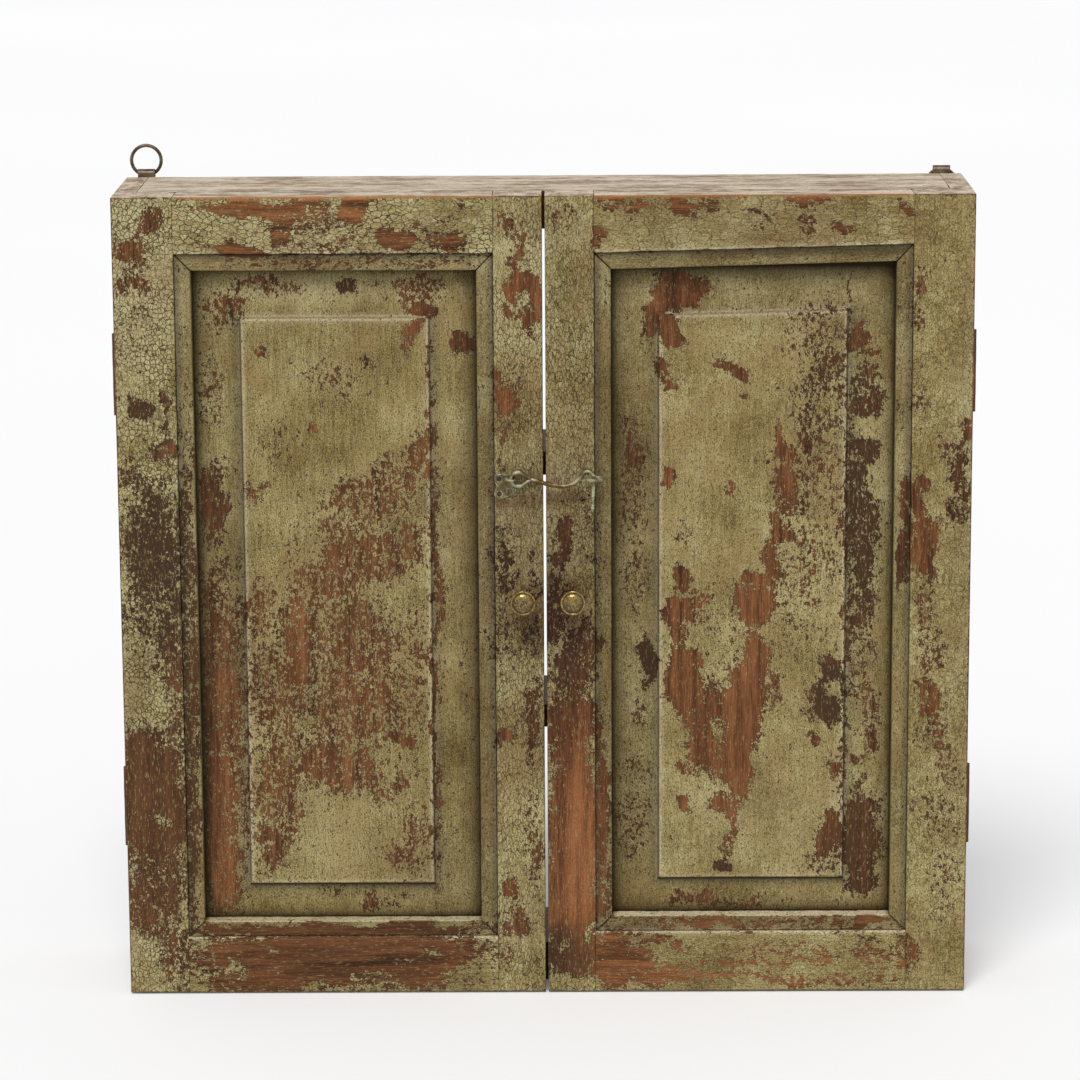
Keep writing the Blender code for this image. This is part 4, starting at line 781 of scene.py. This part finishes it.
class Graph:
    """The nodes of a material or a world, with short calls for those that the finishes use."""

    def __init__(self, owner, shader, output):
        owner.use_nodes = True
        self.owner = owner
        self.tree = owner.node_tree
        self.tree.nodes.clear()
        self.shader = self.tree.nodes.new(shader)
        self.feed(self.tree.nodes.new(output).inputs[0], self.shader.outputs[0])

    def feed(self, socket, value):
        if isinstance(value, bpy.types.NodeSocket):
            self.tree.links.new(value, socket)
        else:
            socket.default_value = value

    def set(self, **values):
        """Feeds the shader's own sockets, named with underscores for spaces."""
        for name, value in values.items():
            self.feed(self.shader.inputs[name.replace("_", " ")], value)

    def add(self, kind, inputs, output=0, **settings):
        """An output of a new node, once its settings and inputs are in place."""
        node = self.tree.nodes.new(f"ShaderNode{kind}")
        for name, value in settings.items():
            setattr(node, name, value)
        for key, value in inputs.items():
            self.feed(node.inputs[key], value)
        return node.outputs[output]

    def attribute(self, name, output="Fac"):
        return self.add("Attribute", {}, output, attribute_name=name)

    def place(self):
        """Where a point lies in its piece's own frame."""
        return self.add("TexCoord", {}, "Object")

    def scaled(self, vector, factors):
        return self.add("VectorMath", {0: vector, 1: factors}, operation="MULTIPLY")

    def shifted(self, vector, other, amount):
        return self.add("VectorMath", {0: other, 1: [amount] * 3, 2: vector}, operation="MULTIPLY_ADD")

    def noise(self, vector, scale, detail=4.0, rough=0.55, output="Fac", distortion=0.0):
        inputs = {"Scale": scale, "Detail": detail, "Roughness": rough, "Distortion": distortion}
        return self.add("TexNoise", {"Vector": vector, **inputs}, output)

    def cells(self, vector, scale, feature="F1", output="Color"):
        return self.add("TexVoronoi", {"Vector": vector, "Scale": scale}, output, feature=feature)

    def math(self, operation, *values):
        return self.add("Math", dict(enumerate(values)), operation=operation)

    def times(self, value, factor):
        return self.math("MULTIPLY", value, factor)

    def total(self, *parts, base=None):
        """The sum of values, each times its weight, on top of a base."""
        for value, weight in parts:
            if base is None:
                base = self.times(value, weight)
            else:
                base = self.math("MULTIPLY_ADD", value, weight, base)
        return base

    def stretch(self, value, low, high, to_low=0.0, to_high=1.0):
        """The value with one range of numbers mapped to another, and held at its ends."""
        return self.add("MapRange", dict(enumerate((value, low, high, to_low, to_high))))

    def mix(self, share, a, b, blend="MIX"):
        return self.add("Mix", {0: share, 6: a, 7: b}, 2, data_type="RGBA", blend_type=blend)

    def ramp(self, value, *stops):
        shade = self.add("ValToRGB", {0: value})
        elements = shade.node.color_ramp.elements
        while len(elements) < len(stops):
            elements.new(0.5)
        for element, (place, colour) in zip(elements, stops):
            element.position = place
            element.color = colour
        return shade

    def bump(self, height, strength, distance):
        self.set(Normal=self.add("Bump", {"Strength": strength, "Distance": distance, "Height": height}))

    def seen_directly(self, otherwise, seen):
        """One number where the camera sees a thing, straight, mirrored or through glass, or else another."""
        path = self.tree.nodes.new("ShaderNodeLightPath")
        either = path.outputs["Is Camera Ray"]
        for way in ("Is Glossy Ray", "Is Transmission Ray"):
            either = self.math("MAXIMUM", either, path.outputs[way])
        return self.stretch(either, 0.0, 1.0, otherwise, seen)


def new_material(name):
    return Graph(bpy.data.materials.new(name), "ShaderNodeBsdfPrincipled", "ShaderNodeOutputMaterial")


# The colours of paint, wood and dirt. The dirt and grime colours also paint shade and shadow, and the rubbed
# and fresh paint colours also paint highlights and light.
PAINT_DEEP = srgb(92, 75, 38)
PAINT_MIDDLE = srgb(147, 132, 82)
PAINT_LIGHT = srgb(188, 178, 130)
PAINT_FRESH_AND_LIT = srgb(184, 172, 134)
PAINT_TAN = srgb(150, 124, 80)
PAINT_LIP = srgb(196, 188, 150)
PAINT_RUBBED_AND_LIT = srgb(212, 198, 162)
WOOD_DARK = srgb(52, 32, 18)
WOOD_RED = srgb(104, 64, 37)
WOOD_ORANGE = srgb(146, 95, 58)
WOOD_GLOW = srgb(196, 126, 70)
WOOD_BLACKENED = srgb(62, 44, 29)
WOOD_PALE = srgb(184, 166, 142)
WOOD_WHITE = srgb(212, 198, 176)
WOOD_ROSY = srgb(134, 108, 84)
GRIME_AND_SHADOW_TINT = (0.44, 0.35, 0.34, 1.0)
CRACK = srgb(42, 31, 15)
SPECK = srgb(66, 43, 25)
DIRT_AND_SHADE_COLOUR = srgb(46, 35, 17)
GRIT_DARK = 0.66
GRIT_LIGHT = 1.32

# The metals: their colours where they are plain, rubbed, stained and crusted, and how rough they are at their
# smoothest.
Metal = namedtuple("Metal", "base worn stain crust rough")
METALS = {
    "aged_brass": Metal(srgb(124, 102, 54), srgb(188, 164, 106), srgb(72, 56, 26), srgb(58, 44, 18), 0.16),
    "verdigris_bronze": Metal(
        srgb(84, 70, 40), srgb(132, 98, 56), srgb(38, 32, 22), srgb(198, 206, 166), 0.28
    ),
    "brown_bronze": Metal(srgb(92, 80, 52), srgb(112, 96, 66), srgb(48, 40, 27), srgb(196, 194, 154), 0.34),
    "dull_brass": Metal(srgb(76, 62, 50), srgb(112, 94, 74), srgb(48, 38, 30), srgb(132, 120, 100), 0.3),
    "blackened_screw": Metal(srgb(46, 38, 29), srgb(68, 56, 43), srgb(28, 22, 17), srgb(92, 84, 68), 0.4),
    "rusty_iron": Metal(srgb(76, 55, 42), srgb(100, 74, 56), srgb(54, 37, 28), srgb(116, 74, 48), 0.5),
}
METAL_ROUGH_SPAN = 0.12

# The metal nodes that keep their CAD shape, by their names: the body, with the node's side put in, the slot
# and metal, how crusted its faces and edges are, and how far its points stand apart if it is cut finer. On
# the latch plate the pale edge crust is also a painted highlight.
Fitting = namedtuple("Fitting", "body slot metal crust edge_crust spacing", defaults=(None,))
FITTINGS = {
    "nail_*": Fitting("carcass", "iron", "rusty_iron", 0.2, 0.4),
    "*_carcass_leaf": Fitting("carcass", "iron", "rusty_iron", 0.3, 0.5),
    "*_hinge_pin": Fitting("carcass", "iron", "rusty_iron", 0.3, 0.5),
    "*_door_leaf": Fitting("{side}_door", "iron", "rusty_iron", 0.3, 0.5),
    "*_ring": Fitting("{side}_ring", "bronze", "dull_brass", 0.2, 0.2),
    "*_ring_strap": Fitting("carcass", "bronze", "dull_brass", 0.2, 0.6, 2 * MM),
    "*_ring_strap_*_screw": Fitting("carcass", "iron", "rusty_iron", 0.2, 0.4),
    # The latch plate's pale edge crust stands also for painted highlights along its edges.
    "latch_plate": Fitting("left_door", "bronze", "brown_bronze", 0.0, 0.7, 1.5 * MM),
    "latch_*_screw": Fitting("left_door", "bronze", "blackened_screw", 0.1, 0.3),
    "latch_eye": Fitting("right_door", "bronze", "verdigris_bronze", 0.6, 0.6),
}

# The stage: the floor's colours, size, depth below the part and lift to white, and the light of the
# surroundings, as it falls and as it is seen.
FLOOR_LOW = srgb(242, 242, 243)
FLOOR_HIGH = srgb(245, 245, 246)
FLOOR_SIZE = 400
FLOOR_DROP = 0.6 * MM
FLOOR_LIFT = 0.065
WORLD_LIGHT = 0.58
WORLD_SEEN = 0.94

# The lamp: how far it stands to the left, to the front and above, how wide it spreads and how strong it is.
SUN_FROM = (0.10, 0.55, 0.82)
SUN_SPREAD = 28.0
SUN_STRENGTH = 2.15


def build_wood_finish():
    """Old paint over red-brown wood. The mesh's numbers say how worn, dark, dirty and pale each place is, and
    where painted shade, shadow, highlights and light lie.

    The vector called grain is in millimetres, with the fibres along its third number, so a noise's scale is
    its waves in each millimetre.
    """
    g = new_material("aged_paint_on_wood")
    grain = g.attribute("grain", "Vector")
    flake = g.attribute("flake", "Vector")
    wear, crack, fresh, bright = (g.attribute(name) for name in ("wear", "crack", "fresh", "bright"))

    def drawn_out(share):
        """The grain with its fibres' way pressed to a share, so that a noise runs long that way."""
        return g.scaled(grain, (1.0, 1.0, share))

    # Where the paint is gone: broad blobs, streaks along the grain and small crisp flakes.
    wander = g.noise(grain, 0.35, 2.0, output="Color")
    blob = g.stretch(g.noise(grain, 0.09, 4.0, 0.6), 0.32, 0.68)
    spot = g.stretch(g.noise(drawn_out(0.7), 0.32, 5.0, 0.7), 0.32, 0.68)
    streak = g.stretch(g.noise(drawn_out(0.15), 0.6, 3.0, 0.6), 0.32, 0.68)
    strayed = g.shifted(drawn_out(0.75), wander, 2.4)
    chance = g.total(
        (blob, 0.12), (spot, 0.26), (streak, 0.12),
        (g.cells(strayed, 0.36), 0.26), (g.cells(strayed, 0.85), 0.24),
    )
    lost = g.math("SUBTRACT", wear, g.stretch(chance, 0.2, 0.8))
    bare = g.stretch(lost, -0.012, 0.012)
    kept = g.math("SUBTRACT", 1.0, bare)
    # Painted shadow: the bare wood just inside each flake's edge is darkened.
    rim = g.times(g.stretch(lost, 0.0, 0.12, 1.0, 0.0), bare)
    lip = g.times(g.stretch(lost, -0.1, 0.0), kept)
    # Crackle: a net of fine dark lines in the paint that is left.
    bent = g.shifted(flake, g.noise(flake, 0.8, 2.0, output="Color"), 0.8)
    net = g.cells(bent, 1.0, "DISTANCE_TO_EDGE", "Distance")
    reach = g.stretch(g.noise(grain, 0.03, 3.0), 0.34, 0.54, 0.4, 1.0)
    gap = g.times(net, g.attribute("cell"))
    line = g.times(g.stretch(gap, 0.12, 0.46, 1.0, 0.0), reach)
    line = g.times(g.times(line, crack), kept)
    # The paint's own colour: brush streaks, fine mottling and broad clouds.
    brush = g.noise(drawn_out(0.06), 0.7, 4.0, 0.65)
    mottle = g.noise(grain, 1.0, 3.0, 0.65)
    cloud = g.noise(grain, 0.016, 3.0)
    flakes = g.times(g.math("SUBTRACT", g.cells(bent, 1.0), 0.5), crack)
    tone = g.total((brush, 0.24), (mottle, 0.52), (cloud, 0.34), (flakes, 0.16), (crack, 0.06), (fresh, 0.05))
    paint = g.ramp(g.stretch(tone, 0.445, 0.675), (0.0, PAINT_DEEP), (0.5, PAINT_MIDDLE), (1.0, PAINT_LIGHT))
    paint = g.mix(g.stretch(g.noise(grain, 0.02, 3.0, 0.5), 0.45, 0.65, 0.0, 0.5), paint, PAINT_TAN)
    # Pale grey-green paint, and painted light under the top mouldings.
    paint = g.mix(g.times(fresh, 0.25), paint, PAINT_FRESH_AND_LIT)
    paint = g.mix(g.times(lip, 0.5), paint, PAINT_LIP)
    # Rubbed pale edges, partly painted highlights on edges that face the light.
    paint = g.mix(g.times(g.attribute("rub"), 0.75), paint, PAINT_RUBBED_AND_LIT)
    pit = g.stretch(g.noise(drawn_out(0.5), 1.0, 2.0, 0.5), 0.575, 0.64)
    paint = g.mix(g.times(pit, 0.75), paint, SPECK)
    paint = g.mix(g.times(line, 0.9), paint, CRACK)
    # The wood: long figure and fine fibres, darkened or brightened in places, with paint left in its pores.
    figure = g.noise(drawn_out(0.08), 0.1, 5.0, 0.6, distortion=0.4)
    fibre = g.noise(drawn_out(0.04), 1.1, 3.0, 0.6)
    depth = g.total((figure, 0.6), (fibre, 0.4), (bright, 0.1))
    wood = g.ramp(g.stretch(depth, 0.38, 0.64), (0.0, WOOD_DARK), (0.5, WOOD_RED), (1.0, WOOD_ORANGE))
    wood = g.mix(g.stretch(bright, 1.0, 2.0), wood, WOOD_GLOW)
    shade = g.math("ADD", g.attribute("dark"), g.stretch(wear, 0.2, 0.75, 0.7, 0.0))
    shade = g.total((bright, -0.4), (figure, 0.9), base=shade)
    wood = g.mix(g.stretch(shade, 0.5, 1.45, 0.0, 0.95), wood, WOOD_BLACKENED)
    pores = g.stretch(g.noise(drawn_out(0.2), 0.8, 3.0, 0.6), 0.58, 0.66, 0.0, 0.7)
    wood = g.mix(g.times(pores, g.stretch(wear, 1.0, 1.15, 1.0, 0.0)), wood, PAINT_MIDDLE)
    # The painted shadow inside each flake's edge.
    wood = g.mix(g.times(rim, 0.7), wood, WOOD_DARK)
    # The top: wood bleached nearly white by light and weather.
    facing = g.add("SeparateXYZ", {0: g.add("NewGeometry", {}, "True Normal")}, "Z")
    upward = g.times(g.attribute("pale"), g.stretch(facing, 0.8, 0.95))
    weather = g.total(
        (g.noise(drawn_out(0.2), 0.06, 5.0, 0.7), 0.6), (g.noise(drawn_out(0.3), 0.22, 4.0, 0.7), 0.4)
    )
    bleached = g.ramp(g.stretch(weather, 0.44, 0.56), (0.0, WOOD_ROSY), (0.4, WOOD_PALE), (1.0, WOOD_WHITE))
    wood = g.mix(upward, wood, bleached)
    paint = g.mix(g.times(upward, 0.45), paint, WOOD_WHITE)
    # Dirt with painted shade, grime with painted shadow, and grit over paint and wood alike.
    colour = g.mix(bare, paint, wood)
    soot_and_shade = g.stretch(g.total((mottle, 0.3), base=g.attribute("dirt")), 0.12, 1.0)
    colour = g.mix(soot_and_shade, colour, DIRT_AND_SHADE_COLOUR)
    grime = g.times(g.attribute("grime"), g.stretch(spot, 0.0, 1.0, 1.25, 0.65))
    colour = g.mix(grime, colour, GRIME_AND_SHADOW_TINT, "MULTIPLY")
    grit = g.stretch(g.noise(grain, 1.3, 2.0, 0.6), 0.3, 0.7, GRIT_DARK, GRIT_LIGHT)
    rough = g.total((mottle, 0.25), base=g.stretch(bare, 0.0, 1.0, 0.52, 0.4))
    g.set(Base_Color=g.mix(1.0, colour, grit, "MULTIPLY"), Roughness=rough, Specular_IOR_Level=0.12)
    g.bump(g.total((kept, 0.6), (mottle, 0.35), (line, -0.5), (fibre, 0.3)), 0.6, 0.5 * MM)
    return g.owner


def build_metal(name, metal):
    """A tarnished metal: rubbed patches, dark stains, and a crust that gathers on edges and in spots, which
    also carries painted shade on the knobs and painted highlights on the hook and the latch plate.
    """
    g = new_material(name)
    place = g.scaled(g.place(), (1 / MM, 1 / MM, 1 / MM))
    broad = g.noise(place, 0.2, 4.0, 0.6)
    fine = g.noise(place, 1.1, 4.0, 0.65)
    colour = g.mix(g.stretch(broad, 0.4, 0.6), metal.base, metal.worn)
    spots = g.total((broad, 0.5), (fine, 0.5))
    stained = g.stretch(spots, 0.5, 0.58)
    colour = g.mix(stained, colour, metal.stain)
    crusted = g.times(g.attribute("crust"), g.stretch(fine, 0.38, 0.52))
    dull = g.math("MAXIMUM", g.times(stained, 0.7), crusted)
    smooth = g.stretch(fine, 0.3, 0.7, metal.rough, metal.rough + METAL_ROUGH_SPAN)
    g.set(
        Base_Color=g.mix(crusted, colour, metal.crust),
        Metallic=g.stretch(dull, 0.0, 1.0, 0.95, 0.1),
        Roughness=g.total((dull, 0.4), base=smooth),
    )
    g.bump(spots, 0.35, 0.2 * MM)
    return g.owner


def add_piece(name, mesh, body, material, node):
    """A piece of the visual model that stands for a node."""
    piece = bpy.data.objects.new(name, mesh)
    bpy.context.scene.collection.objects.link(piece)
    mesh.materials.append(material)
    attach(piece, body)
    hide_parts(node)
    return piece


def finish_metal(mesh, share):
    """How much crust each point may carry, about a share that is one number or one for each point, which on
    the knobs, the hook and the latch plate also holds painted shade and highlights.
    """
    waves = np.array([noise.noise(p / CRUST_LENGTH) for p in read_vectors(mesh, "co")])
    add_numbers(mesh, "crust", np.clip(share + waves * CRUST_SWING, 0, 1))


def closed_mesh(bm, name):
    bmesh.ops.recalc_face_normals(bm, faces=bm.faces)
    for face in bm.faces:
        face.smooth = True
    mesh = bpy.data.meshes.new(name)
    bm.to_mesh(mesh)
    bm.free()
    return mesh


def build_fitting(node, fitting):
    """A metal node with its edges rounded and its mesh fine enough to carry the crust on them, which on the
    latch plate is also a painted highlight.
    """
    bm, sharp = load_shape(node)
    marks = round_edges(bm, sharp, METAL_ROUND)
    if fitting.spacing:
        slice_mesh(bm, fitting.spacing)
    bm.verts.ensure_lookup_table()
    on_edge = np.array([any(face[marks] for face in vert.link_faces) for vert in bm.verts])
    mesh = closed_mesh(bm, node)
    mesh.set_sharp_from_angle(angle=SHARP_ANGLE)
    finish_metal(mesh, np.where(on_edge, fitting.edge_crust, fitting.crust))
    body = fitting.body.format(side=node.split("_")[0])
    return add_piece(f"{node}_finish", mesh, body, METAL[fitting.metal], node)


def skin(bm, rings):
    """Faces between each ring of points and the next."""
    for low, high in zip(rings, rings[1:]):
        for j in range(len(low)):
            i = (j + 1) % len(low)
            bm.faces.new((low[j], low[i], high[i], high[j]))


def sweep(bm, path, radii, turns, corners):
    """A bar swept along a path. Its section is round where a corner number is 0, and square where it is 1."""
    rings = []
    for k, place in enumerate(path):
        along = (path[min(k + 1, len(path) - 1)] - path[max(k - 1, 0)]).normalized()
        side = along.cross(Vector((0, 1, 0))).normalized()
        other = side.cross(along).normalized()
        ring = []
        for j in range(BAR_SIDES):
            turn = 2 * math.pi * j / BAR_SIDES
            reach = radii[k] * (1 + SQUARE_SWELL * corners[k] * math.cos(4 * turn))
            spot = turn + turns[k]
            ring.append(bm.verts.new(place + (side * math.cos(spot) + other * math.sin(spot)) * reach))
        rings.append(ring)
    skin(bm, rings)
    bm.faces.new(rings[0][::-1])
    bm.faces.new(rings[-1])


def smooth_path(points, steps):
    """A curve through the points."""
    ends = [points[0] * 2 - points[1], *points, points[-1] * 2 - points[-2]]
    path = []
    for a, b, c, d in zip(ends, ends[1:], ends[2:], ends[3:]):
        for k in range(steps):
            t = k / steps
            bend = (2 * a - 5 * b + 4 * c - d) * t + (3 * b - a - 3 * c + d) * t * t
            path.append((2 * b + ((c - a) + bend) * t) / 2)
    return [*path, points[-1]]


def hook_point(right, up, out):
    """A place on the hook, in millimetres right of its pivot, above it and out from the door."""
    return HOOK_PIVOT + Vector((right, -out, up)) * MM


def hook_loop():
    """The path of the hook's loop, drawn to a point where the shank begins."""
    tangent = math.acos(HOOK_LOOP / HOOK_TIP)
    turns = np.linspace(tangent, 2 * math.pi - tangent, HOOK_LOOP_STEPS)
    tip = hook_point(HOOK_TIP, 0, HOOK_STAND)
    loop = [hook_point(HOOK_LOOP * math.cos(t), HOOK_LOOP * math.sin(t), HOOK_STAND) for t in turns]
    return [tip, tip.lerp(loop[0], 0.5), *loop, tip.lerp(loop[-1], 0.5), tip]


def hook_shank():
    """The path of the hook's sagging shank, its arch over the eye and its hanging pin."""
    dip = HOOK_PIN_AT - HOOK_DIP_BACK
    route = [(HOOK_TIP - 1, 0, HOOK_STAND)]
    for share in np.linspace(0, 1, HOOK_SAG_STEPS)[1:]:
        sag = HOOK_DIP * math.sin(share * math.pi / 2)
        out = HOOK_STAND + (HOOK_OUT - HOOK_STAND) * share
        route.append((HOOK_TIP + (dip - HOOK_TIP) * share, -sag, out))
    route.append((HOOK_PIN_AT - HOOK_HEEL_BACK, -HOOK_HEEL, HOOK_OUT))
    half = HOOK_ARCH / 2
    for turn in np.linspace(HOOK_ARCH_START, math.pi, HOOK_ARCH_STEPS):
        rise = HOOK_EYE_RISE + HOOK_ARCH_RISE * math.sin(turn)
        route.append((HOOK_PIN_AT - half - half * math.cos(turn), rise, HOOK_OUT))
    route.append((HOOK_PIN_AT - HOOK_PIN_RAKE, HOOK_EYE_RISE - HOOK_PIN_LENGTH, HOOK_OUT))
    return smooth_path([hook_point(*place) for place in route], HOOK_CURVE_STEPS)


def build_hook():
    """A cabin hook: a loop, a twisted shank that sags, an arch and a hanging pin."""
    bm = bmesh.new()
    loop = hook_loop()
    sweep(bm, loop, *([number] * len(loop) for number in (HOOK_WIRE, 0.0, 0.0)))
    path = hook_shank()
    along = np.cumsum([0.0] + [(b - a).length for a, b in zip(path, path[1:])]) / MM
    square = np.clip(np.minimum(along - HOOK_TWIST_START, HOOK_TWIST_END - along) / HOOK_TWIST_BLEND, 0, 1)
    taper = np.clip((along[-1] - along) / HOOK_PIN_LENGTH, 0, 1)
    radii = HOOK_PIN_WIRE + (HOOK_WIRE - HOOK_PIN_WIRE) * taper
    sweep(bm, path, radii, 2 * math.pi * along / HOOK_TWIST, square)
    mesh = closed_mesh(bm, "latch_hook")
    points = read_vectors(mesh, "co")
    normals = read_vectors(mesh, "normal")
    right = (points[:, 0] - HOOK_PIVOT.x) / MM
    coppery = np.exp(-(((right - HOOK_COPPER_AT) / HOOK_COPPER_REACH) ** 2))
    # The pale crust grows on faces that look up and to the front, a painted highlight, and thins underneath,
    # a painted shade.
    crust = HOOK_CRUST + HOOK_CRUST_HIGHLIGHT * (normals[:, 2] - normals[:, 1]) - HOOK_COPPER_LOSS * coppery
    hanging = points[:, 2] < HOOK_PIVOT.z - HOOK_HEEL * 2 * MM
    finish_metal(mesh, np.where(hanging & (right > HOOK_PIN_AT - HOOK_ARCH), HOOK_PIN_CRUST, crust))
    bronze = METAL["verdigris_bronze"]
    return add_piece("latch_hook_finish", mesh, "latch_hook", bronze, "latch_hook")


def turned_mesh(name, profile, place):
    """A shape turned about the line that leaves the door at a place. The profile is (radius, height)."""
    bm = bmesh.new()
    rings = []
    for radius, height in profile:
        ring = []
        for j in range(TURNED_SIDES):
            turn = 2 * math.pi * j / TURNED_SIDES
            offset = Vector((math.cos(turn) * radius, -height, math.sin(turn) * radius))
            ring.append(bm.verts.new(place + offset))
        rings.append(ring)
    skin(bm, rings)
    bm.faces.new(rings[0])
    bm.faces.new(rings[-1])
    return closed_mesh(bm, name)


def build_knob(side):
    """A turned brass knob: a low dome inside a beaded rim, a waisted neck and a rose on the door."""
    low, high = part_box(f"{side}_knob")
    radius = (high.x - low.x) / 2
    stand = DOOR_FRONT - low.y
    place = Vector(((low.x + high.x) / 2, DOOR_FRONT, (low.z + high.z) / 2))
    dome = radius - 2 * KNOB_BEAD
    rim = stand - KNOB_DOME
    turns = np.linspace(KNOB_TIP, math.pi / 2, KNOB_STEPS)
    profile = [(dome * math.sin(t), rim + KNOB_DOME * math.cos(t)) for t in turns]
    centre = radius - KNOB_BEAD
    for turn in np.radians(np.linspace(KNOB_BEAD_START, KNOB_BEAD_END, KNOB_STEPS)):
        profile.append((centre + KNOB_BEAD * math.cos(turn), rim + KNOB_BEAD * math.sin(turn)))
    for share in np.linspace(0, 1, KNOB_NECK_STEPS):
        height = rim - 2 * KNOB_BEAD + (KNOB_ROSE_TOP - rim + 2 * KNOB_BEAD) * share
        waist = KNOB_NECK + (centre - KNOB_NECK) * (1 - share) ** 4 + (KNOB_ROSE - KNOB_NECK) * share**6
        profile.append((waist, height))
    profile += [(KNOB_ROSE, KNOB_ROSE_TOP / 2), (KNOB_ROSE, KNOB_FOOT)]
    mesh = turned_mesh(f"{side}_knob", profile, place)
    spots = np.array([v.co - place for v in mesh.vertices]) / radius
    off_centre = np.hypot(spots[:, 0], spots[:, 2])
    # More dark crust low on the dome: tarnish, with painted shade and a painted dark reflection; the rim
    # keeps little.
    tarnish_and_shade = np.clip(KNOB_TARNISH_AND_SHADE_FROM - spots[:, 2] * KNOB_TARNISH_AND_SHADE_RISE, 0, 1)
    finish_metal(mesh, np.where(off_centre < dome / radius, tarnish_and_shade, KNOB_RIM_TARNISH))
    brass = METAL["aged_brass"]
    return add_piece(f"{side}_knob_finish", mesh, f"{side}_door", brass, f"{side}_knob")


def build_stage():
    """A white floor that keeps the shadow, and soft light from above and a little to the left."""
    bpy.ops.mesh.primitive_plane_add(size=FLOOR_SIZE, location=(0, 0, -FLOOR_DROP))
    floor = bpy.context.object
    floor.name = "studio_floor"
    g = new_material("white_floor")
    tint = g.ramp(g.noise(g.place(), 0.4, 2.0), (0.3, FLOOR_LOW), (0.7, FLOOR_HIGH))
    g.set(Base_Color=tint, Roughness=0.8, Specular_IOR_Level=0.1)
    g.set(Emission_Color=FLOOR_HIGH, Emission_Strength=g.seen_directly(0.0, FLOOR_LIFT))
    floor.data.materials.append(g.owner)
    sky = Graph(bpy.data.worlds.new("studio_world"), "ShaderNodeBackground", "ShaderNodeOutputWorld")
    sky.set(Strength=sky.seen_directly(WORLD_LIGHT, WORLD_SEEN))
    bpy.context.scene.world = sky.owner
    data = bpy.data.lights.new("key_light", "SUN")
    data.energy = SUN_STRENGTH
    data.angle = math.radians(SUN_SPREAD)
    lamp = bpy.data.objects.new("key_light", data)
    left, front, above = SUN_FROM
    lamp.rotation_euler = Vector((left, front, -above)).to_track_quat("-Z", "Y").to_euler()
    bpy.context.scene.collection.objects.link(lamp)


def build_camera():
    """The camera, turned by its yaw, pitch and roll."""
    yaw, pitch, roll = (math.radians(a) for a in (CAMERA_YAW, CAMERA_PITCH, CAMERA_ROLL))
    forward = Vector((math.sin(yaw) * math.cos(pitch), math.cos(yaw) * math.cos(pitch), -math.sin(pitch)))
    level = Vector((math.cos(yaw), -math.sin(yaw), 0.0))
    above = level.cross(forward)
    right = level * math.cos(roll) + above * math.sin(roll)
    up = above * math.cos(roll) - level * math.sin(roll)
    data = bpy.data.cameras.new("camera")
    data.lens = CAMERA_LENS
    data.sensor_width = SENSOR_WIDTH
    data.clip_end = CAMERA_CLIP
    camera = bpy.data.objects.new("camera", data)
    turned = Matrix((right, up, -forward)).transposed().to_4x4()
    camera.matrix_world = Matrix.Translation(CAMERA_PLACE) @ turned
    bpy.context.scene.collection.objects.link(camera)
    bpy.context.scene.camera = camera


bpy.context.scene.view_settings.view_transform = "Standard"
noise.seed_set(RAG_SEED)
WOOD = build_wood_finish()
for seed, (node, board) in enumerate(list_boards().items()):
    build_board(node, board, seed)
METAL = {name: build_metal(name, metal) for name, metal in METALS.items()}
for node in list(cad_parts):
    for pattern, fitting in FITTINGS.items():
        if fnmatchcase(node, pattern):
            build_fitting(node, fitting)
build_hook()
for side in ("left", "right"):
    build_knob(side)
build_stage()
build_camera()
